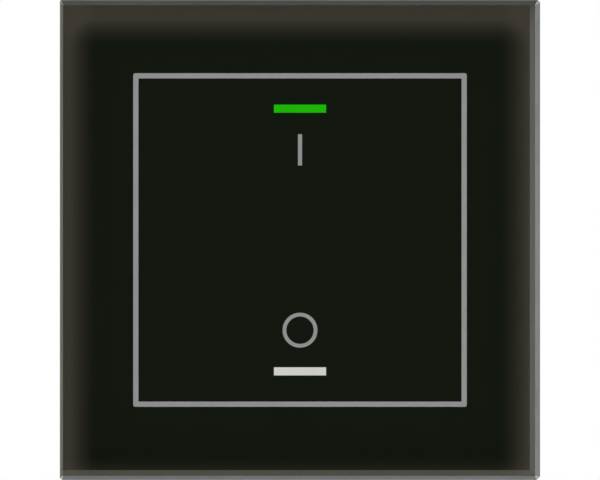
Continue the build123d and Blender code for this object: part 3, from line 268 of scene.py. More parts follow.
def ground_glass_edge(side, colour):
    """Glass edge ground with fine grit: a grey satin band with short streaks along the wheel's travel."""
    # The colour given for each side holds painted light or shade, and the corners' colour a painted
    # highlight.
    material, tree, surface = new_material("ground_glass_edge_painted_shading_" + side)
    # Wheel marks are about 0.02 mm apart, drawn at 0.4 mm so that they show.
    streak_length, streak_width, mark_depth, edge_radius = 3.0, 0.4, 0.02, 0.08
    # The wheel's pressure changes over about 18 mm, and the tone with it.
    pass_length, pass_share = 18, 0.8
    darker, lighter = 0.76, 1.24
    squeeze = streak_width / streak_length
    place = add_node(tree, "ShaderNodeTexCoord").outputs["Object"]
    upright = side in ("left", "right")
    squeezed = add_node(
        tree,
        "ShaderNodeMapping",
        inputs={"Vector": place, "Scale": (1, 1, squeeze) if upright else (squeeze, 1, 1)},
    )
    streaks = add_node(
        tree,
        "ShaderNodeTexNoise",
        inputs={"Vector": squeezed.outputs[0], "Scale": per_feature(streak_width), "Detail": 3.0},
    )
    passes = add_node(
        tree, "ShaderNodeTexNoise", inputs={"Vector": place, "Scale": per_feature(pass_length)}
    )
    marks = add_node(
        tree,
        "ShaderNodeMath",
        {"operation": "MULTIPLY_ADD"},
        {0: passes.outputs["Fac"], 1: pass_share, 2: streaks.outputs["Fac"]},
    )
    level = add_node(
        tree, "ShaderNodeMapRange", inputs={"Value": marks.outputs[0], "From Min": 0.4, "From Max": 1.4}
    )
    tone = add_node(
        tree,
        "ShaderNodeMix",
        {"data_type": "RGBA"},
        {
            "Factor": level.outputs[0],
            MIX_A: opaque(shade_of(colour, darker)),
            MIX_B: opaque(shade_of(colour, lighter)),
        },
    )
    rounded = add_node(tree, "ShaderNodeBevel", {"samples": BEVEL_SAMPLES}, {"Radius": edge_radius * MM})
    relief = add_node(
        tree,
        "ShaderNodeBump",
        inputs={
            "Height": streaks.outputs["Fac"],
            "Strength": 0.25,
            "Distance": mark_depth * MM,
            "Normal": rounded.outputs[0],
        },
    )
    shader = add_node(
        tree,
        "ShaderNodeBsdfPrincipled",
        inputs={
            "Base Color": tone.outputs[MIX_RESULT],
            "Roughness": 0.6,
            "IOR": 1.52,
            "Specular IOR Level": 0.2,
            "Normal": relief.outputs[0],
        },
    )
    tree.links.new(shader.outputs[0], surface)
    return material


def screen_print(name, colour):
    """Ceramic ink fired on the back of the glass: flat, a trace thicker in waves of 7 mm."""
    material, tree, surface = new_material(name)
    wave, darker, lighter = 7, 0.97, 1.03
    place = add_node(tree, "ShaderNodeTexCoord").outputs["Object"]
    waves = add_node(
        tree,
        "ShaderNodeTexNoise",
        inputs={"Vector": place, "Scale": per_feature(wave), "Detail": 0.0},
    )
    tone = add_node(
        tree,
        "ShaderNodeMix",
        {"data_type": "RGBA"},
        {
            "Factor": waves.outputs["Fac"],
            MIX_A: opaque(shade_of(colour, darker)),
            MIX_B: opaque(shade_of(colour, lighter)),
        },
    )
    shader = add_node(
        tree,
        "ShaderNodeBsdfPrincipled",
        inputs={"Base Color": tone.outputs[MIX_RESULT], "Roughness": 0.9, "Specular IOR Level": 0.0},
    )
    tree.links.new(shader.outputs[0], surface)
    return material


def lit_window(name, colour, level):
    """Translucent ink with a light guide behind it: a glow with a crisp edge, a trace uneven."""
    material, tree, surface = new_material(name)
    patch, darker, lighter, unlit = 3, 0.97, 1.03, 0.05
    place = add_node(tree, "ShaderNodeTexCoord").outputs["Object"]
    patches = add_node(
        tree,
        "ShaderNodeTexNoise",
        inputs={"Vector": place, "Scale": per_feature(patch), "Detail": 0.0},
    )
    glow = add_node(
        tree,
        "ShaderNodeMix",
        {"data_type": "RGBA"},
        {
            "Factor": patches.outputs["Fac"],
            MIX_A: opaque(shade_of(colour, darker)),
            MIX_B: opaque(shade_of(colour, lighter)),
        },
    )
    shader = add_node(
        tree,
        "ShaderNodeBsdfPrincipled",
        inputs={
            "Base Color": opaque(shade_of(colour, unlit)),
            "Roughness": 0.9,
            "Specular IOR Level": 0.0,
            "Emission Color": glow.outputs[MIX_RESULT],
            "Emission Strength": level,
        },
    )
    tree.links.new(shader.outputs[0], surface)
    return material


def moulded_plastic(name, colour, roughness, cloud, grain=0.5, depth=0.015):
    """Injection-moulded plastic: spark-eroded grain, and faint flow clouds that change its gloss.

    Clouds, grain and depth of texture are in mm. The real grain is 0.1 to 0.2 mm, drawn
    coarser so that it shows.
    """
    material, tree, surface = new_material(name)
    darker, lighter, gloss_change, edge_radius = 0.9, 1.1, 0.07, 0.3
    place = add_node(tree, "ShaderNodeTexCoord").outputs["Object"]
    clouds = add_node(
        tree, "ShaderNodeTexNoise", inputs={"Vector": place, "Scale": per_feature(cloud), "Detail": 3.0}
    )
    grains = add_node(
        tree, "ShaderNodeTexNoise", inputs={"Vector": place, "Scale": per_feature(grain), "Detail": 2.0}
    )
    tone = add_node(
        tree,
        "ShaderNodeMix",
        {"data_type": "RGBA"},
        {
            "Factor": clouds.outputs["Fac"],
            MIX_A: opaque(shade_of(colour, darker)),
            MIX_B: opaque(shade_of(colour, lighter)),
        },
    )
    gloss = add_node(
        tree,
        "ShaderNodeMapRange",
        inputs={
            "Value": clouds.outputs["Fac"],
            "From Min": 0.3,
            "From Max": 0.7,
            "To Min": roughness - gloss_change,
            "To Max": roughness + gloss_change,
        },
    )
    rounded = add_node(tree, "ShaderNodeBevel", {"samples": BEVEL_SAMPLES}, {"Radius": edge_radius * MM})
    relief = add_node(
        tree,
        "ShaderNodeBump",
        inputs={
            "Height": grains.outputs["Fac"],
            "Strength": 0.5,
            "Distance": depth * MM,
            "Normal": rounded.outputs[0],
        },
    )
    shader = add_node(
        tree,
        "ShaderNodeBsdfPrincipled",
        inputs={
            "Base Color": tone.outputs[MIX_RESULT],
            "Roughness": gloss.outputs[0],
            "IOR": 1.5,
            "Normal": relief.outputs[0],
        },
    )
    tree.links.new(shader.outputs[0], surface)
    return material


def plated_metal(name, colour, roughness, spangle, scratch=0.3):
    """Plated or plain metal: crystals that change the tone, and fine scratches from handling.

    Crystals and scratches are in mm. Real scratches are finer, drawn coarser so that they show.
    """
    material, tree, surface = new_material(name)
    darker, lighter, smoother, rougher = 0.88, 1.06, 0.06, 0.1
    scratch_depth, scratch_squeeze, edge_radius = 0.01, 0.08, 0.15
    place = add_node(tree, "ShaderNodeTexCoord").outputs["Object"]
    crystals = add_node(
        tree, "ShaderNodeTexVoronoi", inputs={"Vector": place, "Scale": per_feature(spangle)}
    )
    drawn = add_node(
        tree, "ShaderNodeMapping", inputs={"Vector": place, "Scale": (1, 1, scratch_squeeze)}
    )
    scratches = add_node(
        tree,
        "ShaderNodeTexNoise",
        inputs={"Vector": drawn.outputs[0], "Scale": per_feature(scratch), "Detail": 4.0},
    )
    tone = add_node(
        tree,
        "ShaderNodeMix",
        {"data_type": "RGBA"},
        {
            "Factor": crystals.outputs["Distance"],
            MIX_A: opaque(shade_of(colour, lighter)),
            MIX_B: opaque(shade_of(colour, darker)),
        },
    )
    gloss = add_node(
        tree,
        "ShaderNodeMapRange",
        inputs={
            "Value": scratches.outputs["Fac"],
            "From Min": 0.3,
            "From Max": 0.7,
            "To Min": roughness - smoother,
            "To Max": roughness + rougher,
        },
    )
    rounded = add_node(tree, "ShaderNodeBevel", {"samples": BEVEL_SAMPLES}, {"Radius": edge_radius * MM})
    relief = add_node(
        tree,
        "ShaderNodeBump",
        inputs={
            "Height": scratches.outputs["Fac"],
            "Strength": 0.3,
            "Distance": scratch_depth * MM,
            "Normal": rounded.outputs[0],
        },
    )
    shader = add_node(
        tree,
        "ShaderNodeBsdfPrincipled",
        inputs={
            "Base Color": tone.outputs[MIX_RESULT],
            "Metallic": 1.0,
            "Roughness": gloss.outputs[0],
            "Normal": relief.outputs[0],
        },
    )
    tree.links.new(shader.outputs[0], surface)
    return material


def closed_cell_foam(name, colour, cell):
    """Foam: matt, with open cells at its cut faces."""
    material, tree, surface = new_material(name)
    darker, lighter, cell_depth = 0.6, 1.4, 0.1
    place = add_node(tree, "ShaderNodeTexCoord").outputs["Object"]
    cells = add_node(tree, "ShaderNodeTexVoronoi", inputs={"Vector": place, "Scale": per_feature(cell)})
    # Darker at the middle of each cell, where the bump sinks in: painted shade in the cell pits.
    tone = add_node(
        tree,
        "ShaderNodeMix",
        {"data_type": "RGBA"},
        {
            "Factor": cells.outputs["Distance"],
            MIX_A: opaque(shade_of(colour, darker)),
            MIX_B: opaque(shade_of(colour, lighter)),
        },
    )
    relief = add_node(
        tree,
        "ShaderNodeBump",
        inputs={"Height": cells.outputs["Distance"], "Strength": 0.8, "Distance": cell_depth * MM},
    )
    shader = add_node(
        tree,
        "ShaderNodeBsdfPrincipled",
        inputs={"Base Color": tone.outputs[MIX_RESULT], "Roughness": 0.95, "Normal": relief.outputs[0]},
    )
    tree.links.new(shader.outputs[0], surface)
    return material


def wound_copper(colour, wire):
    """Enamelled copper wire: turns side by side across the winding, glossy and reddish.

    The real wire is 0.1 to 0.2 mm thick, drawn thicker so that its turns show.
    """
    material, tree, surface = new_material("enamelled_copper_wire")
    # At scale 1 a wave repeats after a twentieth of a full turn.
    wave_repeat, painted_shade_between_turns = math.tau / 20, 0.35
    place = add_node(tree, "ShaderNodeTexCoord").outputs["Object"]
    turns = add_node(
        tree,
        "ShaderNodeTexWave",
        {"bands_direction": "Y", "wave_profile": "SIN"},
        {
            "Vector": place,
            "Scale": per_feature(wire) * wave_repeat,
            "Distortion": 0.4,
        },
    )
    # Darker between the turns, where the bump sinks: painted shade in the creases between the wires.
    tone = add_node(
        tree,
        "ShaderNodeMix",
        {"data_type": "RGBA"},
        {
            "Factor": turns.outputs["Fac"],
            MIX_A: opaque(shade_of(colour, painted_shade_between_turns)),
            MIX_B: opaque(colour),
        },
    )
    relief = add_node(
        tree,
        "ShaderNodeBump",
        inputs={"Height": turns.outputs["Fac"], "Strength": 0.9, "Distance": wire * MM / 4},
    )
    shader = add_node(
        tree,
        "ShaderNodeBsdfPrincipled",
        inputs={
            "Base Color": tone.outputs[MIX_RESULT],
            "Metallic": 0.6,
            "Roughness": 0.32,
            "Normal": relief.outputs[0],
        },
    )
    tree.links.new(shader.outputs[0], surface)
    return material


def clear_acrylic():
    """Clear moulded acrylic: water-clear with a soft bloom where it was frosted."""
    material, tree, surface = new_material("clear_acrylic")
    bloom = 0.8
    place = add_node(tree, "ShaderNodeTexCoord").outputs["Object"]
    frost = add_node(tree, "ShaderNodeTexNoise", inputs={"Vector": place, "Scale": per_feature(bloom)})
    gloss = add_node(
        tree,
        "ShaderNodeMapRange",
        inputs={"Value": frost.outputs["Fac"], "To Min": 0.1, "To Max": 0.35},
    )
    shader = add_node(
        tree,
        "ShaderNodeBsdfPrincipled",
        inputs={
            "Base Color": opaque(linear("#f2f6f6")),
            "Roughness": gloss.outputs[0],
            "IOR": 1.49,
            "Transmission Weight": 0.9,
        },
    )
    tree.links.new(shader.outputs[0], surface)
    return material


def solder_mask(colour):
    """Printed circuit laminate: green lacquer over copper tracks that show as lighter lines."""
    material, tree, surface = new_material("solder_mask_on_laminate")
    # Sizes are in mm. The pattern's own unit is 10 mm, which keeps its mortar inside its limit.
    unit, track_length, track_pitch, track_width = 10.0, 13.0, 1.27, 0.3
    patch_tone, track_tone = 1.15, 1.9
    place = add_node(tree, "ShaderNodeTexCoord").outputs["Object"]
    # The boards stand upright, so the pattern is turned up into their plane.
    upright = add_node(
        tree, "ShaderNodeMapping", inputs={"Vector": place, "Rotation": (math.pi / 2, 0, 0)}
    )
    tracks = add_node(
        tree,
        "ShaderNodeTexBrick",
        {"offset": 0.5},
        {
            "Vector": upright.outputs[0],
            "Color1": opaque(colour),
            "Color2": opaque(shade_of(colour, patch_tone)),
            "Mortar": opaque(shade_of(colour, track_tone)),
            "Scale": per_feature(unit),
            "Brick Width": track_length / unit,
            "Row Height": track_pitch / unit,
            "Mortar Size": track_width / unit / 2,
        },
    )
    shader = add_node(
        tree,
        "ShaderNodeBsdfPrincipled",
        inputs={
            "Base Color": tracks.outputs["Color"],
            "Roughness": 0.3,
            "Coat Weight": 0.4,
            "Coat Roughness": 0.15,
        },
    )
    tree.links.new(shader.outputs[0], surface)
    return material


def polygon_prism(mesh, outline, back, front):
    """A closed prism between two depths, from an outline of (x, z) points."""
    back_ring = [mesh.verts.new((x, back, z)) for x, z in outline]
    front_ring = [mesh.verts.new((x, front, z)) for x, z in outline]
    mesh.faces.new(back_ring)
    mesh.faces.new(front_ring)
    side_walls(mesh, back_ring, front_ring)


def side_walls(mesh, first_ring, second_ring):
    """Quads that join two rings of the same number of points."""
    count = len(first_ring)
    walls = []
    for index in range(count):
        following = (index + 1) % count
        corners = (first_ring[index], first_ring[following], second_ring[following], second_ring[index])
        walls.append(mesh.faces.new(corners))
    return walls


def ring_prism(mesh, outer, inner, back, front):
    """A closed prism with a hole: the two outlines have the same number of points."""
    rings = []
    for outline, depth in ((outer, back), (outer, front), (inner, front), (inner, back)):
        rings.append([mesh.verts.new((x, depth, z)) for x, z in outline])
    for ring, following in zip(rings, rings[1:] + rings[:1]):
        side_walls(mesh, ring, following)


def rounded_square(side, radius, steps=6):
    """Points round a square with rounded corners."""
    points = []
    for corner in range(4):
        middle = math.radians(45 + 90 * corner)
        centre_x = math.copysign(side / 2 - radius, math.cos(middle))
        centre_z = math.copysign(side / 2 - radius, math.sin(middle))
        for step in range(steps + 1):
            angle = math.radians(90 * corner + 90 * step / steps)
            points.append((centre_x + radius * math.cos(angle), centre_z + radius * math.sin(angle)))
    return points


def circle(radius, x, z, steps=64):
    """Points round a circle."""
    angles = [math.tau * step / steps for step in range(steps)]
    return [(x + radius * math.cos(angle), z + radius * math.sin(angle)) for angle in angles]


def rectangle(low_x, low_z, high_x, high_z):
    return [(low_x, low_z), (high_x, low_z), (high_x, high_z), (low_x, high_z)]


def make_piece(name, build, materials, body, replaced=()):
    """Turns what build draws in a bmesh into a piece that rides on a body."""
    drawing = bmesh.new()
    build(drawing)
    bmesh.ops.recalc_face_normals(drawing, faces=drawing.faces)
    mesh = bpy.data.meshes.new(name)
    drawing.to_mesh(mesh)
    drawing.free()
    piece = bpy.data.objects.new(name, mesh)
    bpy.context.scene.collection.objects.link(piece)
    for material in materials:
        mesh.materials.append(material)
    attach(piece, body)
    if replaced:
        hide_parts(*replaced)


def dress(material, *nodes):
    """Gives CAD nodes a finish through their own material slots."""
    for name in nodes:
        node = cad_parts[name]
        if not node.material_slots:
            node.data.materials.append(material)
        for material_slot in node.material_slots:
            material_slot.material = material


class TOUCHSWITCH_OT_glass_plate(bpy.types.Operator):
    """Glass plate with polished faces and ground bevels"""

    bl_idname = "touch_switch.glass_plate"
    bl_label = "Glass Plate"

    def execute(self, context):
        settings = context.scene.touch_switch_glass
        low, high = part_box("glass_plate")
        polished, left, right, top, bottom, corner = range(6)
        no_bevel = (0, 0, 0, 0)
        back_bevels = (settings.back_bevel,) * 4
        front_bevels = (
            settings.left_bevel,
            settings.right_bevel,
            settings.bottom_bevel,
            settings.top_bevel,
        )
        face_cuts = (settings.face_cut,) * 4
        side_cuts = (
            settings.bottom_left_cut,
            settings.bottom_right_cut,
            settings.top_right_cut,
            settings.top_left_cut,
        )
        levels = (
            (high.y, back_bevels, face_cuts),
            (high.y - settings.back_bevel, no_bevel, side_cuts),
            (low.y + settings.bevel_depth, no_bevel, side_cuts),
            (low.y, front_bevels, face_cuts),
        )
        side_order = (bottom, corner, right, corner, top, corner, left, corner)

        def build(mesh):
            rings = []
            for depth, (inset_left, inset_right, inset_bottom, inset_top), cuts in levels:
                x0, x1 = low.x + inset_left, high.x - inset_right
                z0, z1 = low.z + inset_bottom, high.z - inset_top
                bottom_left, bottom_right, top_right, top_left = cuts
                outline = (
                    (x0 + bottom_left, z0),
                    (x1 - bottom_right, z0),
                    (x1, z0 + bottom_right),
                    (x1, z1 - top_right),
                    (x1 - top_right, z1),
                    (x0 + top_left, z1),
                    (x0, z1 - top_left),
                    (x0, z0 + bottom_left),
                )
                rings.append([mesh.verts.new((x, depth, z)) for x, z in outline])
            for ring in (rings[0], rings[-1]):
                mesh.faces.new(ring).material_index = polished
            for ring, following in zip(rings, rings[1:]):
                for wall, side in zip(side_walls(mesh, ring, following), side_order):
                    wall.material_index = side

        materials = [
            toughened_glass(settings.glass_colour, settings.glass_ior),
            # The sides share one ground glass in different colours, which are painted light and shade.
            ground_glass_edge("left", settings.left_edge_painted_shading),
            ground_glass_edge("right", settings.right_edge_painted_shading),
            ground_glass_edge("top", settings.top_edge_painted_shading),
            ground_glass_edge("bottom", settings.bottom_edge_painted_shading),
            ground_glass_edge("corner", settings.corner_painted_highlight),
        ]
        make_piece("glass_pane", build, materials, "front_unit", ["glass_plate"])
        return {"FINISHED"}


class TOUCHSWITCH_OT_dark_print(bpy.types.Operator):
    """Dark print over the back of the glass, with strips of painted light along the right and bottom edges
    """

    bl_idname = "touch_switch.dark_print"
    bl_label = "Dark Print"

    def execute(self, context):
        settings = context.scene.touch_switch_print
        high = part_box("back_print")[1]
        glass_low, glass_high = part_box("glass_plate")
        glass_settings = context.scene.touch_switch_glass
        front = glass_high.y - settings.bond
        painted_light_front = front - settings.step
        back = high.y
        reach_x = glass_high.x - glass_settings.back_bevel
        reach_z = glass_high.z - glass_settings.back_bevel
        right_line = glass_high.x - glass_settings.right_bevel - settings.right_painted_light_width
        bottom_line = glass_low.z + glass_settings.bottom_bevel + settings.bottom_painted_light_width

        def build_print(mesh):
            polygon_prism(mesh, rectangle(-reach_x, -reach_z, reach_x, reach_z), back, front)

        # Strips of painted light over the print along the right and bottom edges.
        def build_right_painted_light(mesh):
            outline = [
                (right_line, bottom_line),
                (reach_x, -reach_z),
                (reach_x, reach_z),
                (right_line, reach_z),
            ]
            polygon_prism(mesh, outline, front, painted_light_front)

        def build_bottom_painted_light(mesh):
            outline = [
                (-reach_x, -reach_z),
                (reach_x, -reach_z),
                (right_line, bottom_line),
                (-reach_x, bottom_line),
            ]
            polygon_prism(mesh, outline, front, painted_light_front)

        dark = screen_print("dark_ceramic_print", settings.dark_colour)
        # Lighter ink for the painted light along the right and bottom edges.
        right = screen_print("painted_light_strip_right", settings.right_painted_light_colour)
        bottom = screen_print("painted_light_strip_bottom", settings.bottom_painted_light_colour)
        make_piece("dark_print", build_print, [dark], "front_unit", ["back_print"])
        make_piece("painted_light_strip_right", build_right_painted_light, [right], "front_unit")
        make_piece("painted_light_strip_bottom", build_bottom_painted_light, [bottom], "front_unit")
        return {"FINISHED"}


class TOUCHSWITCH_OT_grey_prints(bpy.types.Operator):
    """Square outline and the on and off symbols"""

    bl_idname = "touch_switch.grey_prints"
    bl_label = "Grey Prints"

    def execute(self, context):
        settings = context.scene.touch_switch_print
        grey = screen_print("grey_ceramic_print", settings.grey_colour)
        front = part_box("glass_plate")[1].y - settings.bond - settings.step

        def build_outline(mesh):
            low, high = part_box("outline_print")
            side = high.x - low.x
            outer = rounded_square(side, settings.outline_corner)
            inner = rounded_square(side - 2 * settings.outline_stroke, settings.outline_inner_corner)
            ring_prism(mesh, outer, inner, high.y, front)

        def build_on_symbol(mesh):
            low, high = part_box("on_symbol_print")
            polygon_prism(mesh, rectangle(low.x, low.z, high.x, high.z), high.y, front)

        def build_off_symbol(mesh):
            low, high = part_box("off_symbol_print")
            radius = (high.x - low.x) / 2
            x, z = (low.x + high.x) / 2, (low.z + high.z) / 2
            inner = circle(radius - settings.off_symbol_stroke, x, z)
            ring_prism(mesh, circle(radius, x, z), inner, high.y, front)

        pieces = (
            ("square_outline", build_outline, "outline_print"),
            ("on_symbol", build_on_symbol, "on_symbol_print"),
            ("off_symbol", build_off_symbol, "off_symbol_print"),
        )
        for name, build, node in pieces:
            make_piece(name, build, [grey], "front_unit", [node])
        return {"FINISHED"}


class TOUCHSWITCH_OT_windows(bpy.types.Operator):
    """Green and white windows, both lit"""

    bl_idname = "touch_switch.windows"
    bl_label = "Lit Windows"

    def execute(self, context):
        settings = context.scene.touch_switch_print
        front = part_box("glass_plate")[1].y - settings.bond - settings.step
        windows = (
            ("on_window", "on_window_print", "green_window", settings.on_light_colour),
            ("off_window", "off_window_print", "white_window", settings.off_light_colour),
        )
        for name, node, slot_name, colour in windows:
            low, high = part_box(node)
            # Its back is a little behind the dark print's, so that the two don't share a plane.
            back = high.y + settings.step / 4

            def build(mesh):
                polygon_prism(mesh, rectangle(low.x, low.z, high.x, high.z), back, front)

            glow = lit_window(name + "_translucent_ink", colour, settings.light_level)
            make_piece(name, build, [glow], "front_unit", [node])
        return {"FINISHED"}


class TOUCHSWITCH_OT_front_unit_finishes(bpy.types.Operator):
    """Finishes of the carrier, tape and magnets behind the glass"""

    bl_idname = "touch_switch.front_unit_finishes"
    bl_label = "Front Unit Finishes"

    def execute(self, context):
        settings = context.scene.touch_switch_finish
        carrier = moulded_plastic(
            "black_polycarbonate", settings.carrier_colour, roughness=0.48, cloud=14, grain=0.45, depth=0.02
        )
        tape = closed_cell_foam("acrylic_foam_tape", linear("#242424"), cell=0.5)
        nickel = plated_metal("nickel_plate", linear("#b9b5aa"), roughness=0.24, spangle=2.0, scratch=0.4)
        dress(carrier, "glass_carrier")
        dress(tape, "adhesive_tape")
        dress(nickel, "holding_magnets")
        return {"FINISHED"}


class TOUCHSWITCH_OT_wall_unit_finishes(bpy.types.Operator):
    """Finishes of the yoke, housing, cover and terminals"""

    bl_idname = "touch_switch.wall_unit_finishes"
    bl_label = "Wall Unit Finishes"

    def execute(self, context):
        settings = context.scene.touch_switch_finish
        nylon = moulded_plastic(
            "glass_filled_nylon", settings.housing_colour, roughness=0.55, cloud=9, grain=0.6, depth=0.03
        )
        cover = moulded_plastic("white_polycarbonate", settings.cover_colour, roughness=0.42, cloud=16)
        block = moulded_plastic("natural_nylon", settings.block_colour, roughness=0.45, cloud=7)
        zinc = plated_metal(
            "zinc_plated_sheet", settings.zinc_colour, roughness=0.36, spangle=1.8, scratch=0.5
        )
        screw = plated_metal("bright_zinc_plate", settings.screw_colour, roughness=0.28, spangle=1.0)
        dress(nylon, "module_housing")
        dress(cover, "front_cover")
        dress(block, "terminal_block")
        dress(zinc, "mounting_yoke")
        dress(screw, "cover_screws", "board_screws")
        for terminal in ("neutral", "live", "load"):
            dress(zinc, terminal + "_clamp_cage")
            dress(screw, terminal + "_clamp_screw")
        return {"FINISHED"}


class TOUCHSWITCH_OT_board_finishes(bpy.types.Operator):
    """Finishes of the boards and what is soldered on them"""

    bl_idname = "touch_switch.board_finishes"
    bl_label = "Board Finishes"

    def execute(self, context):
        settings = context.scene.touch_switch_finish
        black = moulded_plastic("black_nylon", linear("#202022"), roughness=0.5, cloud=6)
        epoxy = moulded_plastic(
            "black_epoxy", linear("#18181a"), roughness=0.62, cloud=5, grain=0.3, depth=0.01
        )
        glaze = moulded_plastic(
            "resistor_glaze", linear("#1c1d22"), roughness=0.4, cloud=2, grain=0.3, depth=0.005
        )
        phosphor = moulded_plastic(
            "phosphor_silicone", linear("#e6e3c0"), roughness=0.3, cloud=2, grain=0.3, depth=0.005
        )
        blue = moulded_plastic("blue_polycarbonate", linear("#2f5fa8"), roughness=0.3, cloud=8, depth=0.01)
        white = moulded_plastic("white_nylon", linear("#d6d3c6"), roughness=0.45, cloud=5, depth=0.01)
        dipped = moulded_plastic(
            "dipped_epoxy", linear("#2a4f9c"), roughness=0.35, cloud=4, grain=1.2, depth=0.05
        )
        yellow = moulded_plastic("yellow_polyester", linear("#d3a82a"), roughness=0.35, cloud=6, depth=0.01)
        # Ferrite is pressed and sintered, and has the same matt, grainy skin.
        ferrite = moulded_plastic(
            "sintered_ferrite", linear("#3a3b3e"), roughness=0.6, cloud=3, grain=0.4, depth=0.03
        )
        foam = closed_cell_foam("conductive_foam", linear("#33343a"), cell=0.4)
        tin = plated_metal("tinned_copper", linear("#cbccca"), roughness=0.3, spangle=0.8)
        brass = plated_metal("plain_brass", settings.brass_colour, roughness=0.3, spangle=1.5, scratch=0.4)
        iron = plated_metal("soft_iron", linear("#8f9296"), roughness=0.42, spangle=1.2, scratch=0.4)
        silver = plated_metal("contact_silver", linear("#d8d6cf"), roughness=0.25, spangle=0.8)
        aluminium = plated_metal("drawn_aluminium", linear("#b8b9bc"), roughness=0.3, spangle=1.5)
        winding = wound_copper(settings.copper_colour, wire=0.9)
        dress(solder_mask(settings.laminate_colour), "touch_board", "power_board")
        dress(clear_acrylic(), "on_light_guide", "off_light_guide")
        dress(black, "on_light_shroud", "off_light_shroud", "pin_header", "header_socket")
        dress(black, "relay_base", "transformer_base", "fuse")
        dress(epoxy, "touch_chip", "rectifier", "regulator_chip")
        dress(glaze, "chip_resistors")
        dress(phosphor, "on_leds", "off_leds")
        dress(blue, "relay_case")
        dress(white, "relay_bobbin")
        dress(dipped, "varistor")
        dress(yellow, "line_capacitor")
        dress(ferrite, "inductor", "transformer_core")
        dress(foam, "on_touch_pad", "off_touch_pad")
        dress(tin, "header_pins", "relay_pins")
        dress(brass, "contact_bars", "relay_contact_spring", "relay_fixed_contact")
        dress(iron, "relay_frame", "relay_core", "relay_armature")
        dress(silver, "relay_moving_contact")
        dress(aluminium, "smoothing_capacitor")
        dress(winding, "relay_winding", "inductor_winding", "transformer_winding")
        return {"FINISHED"}


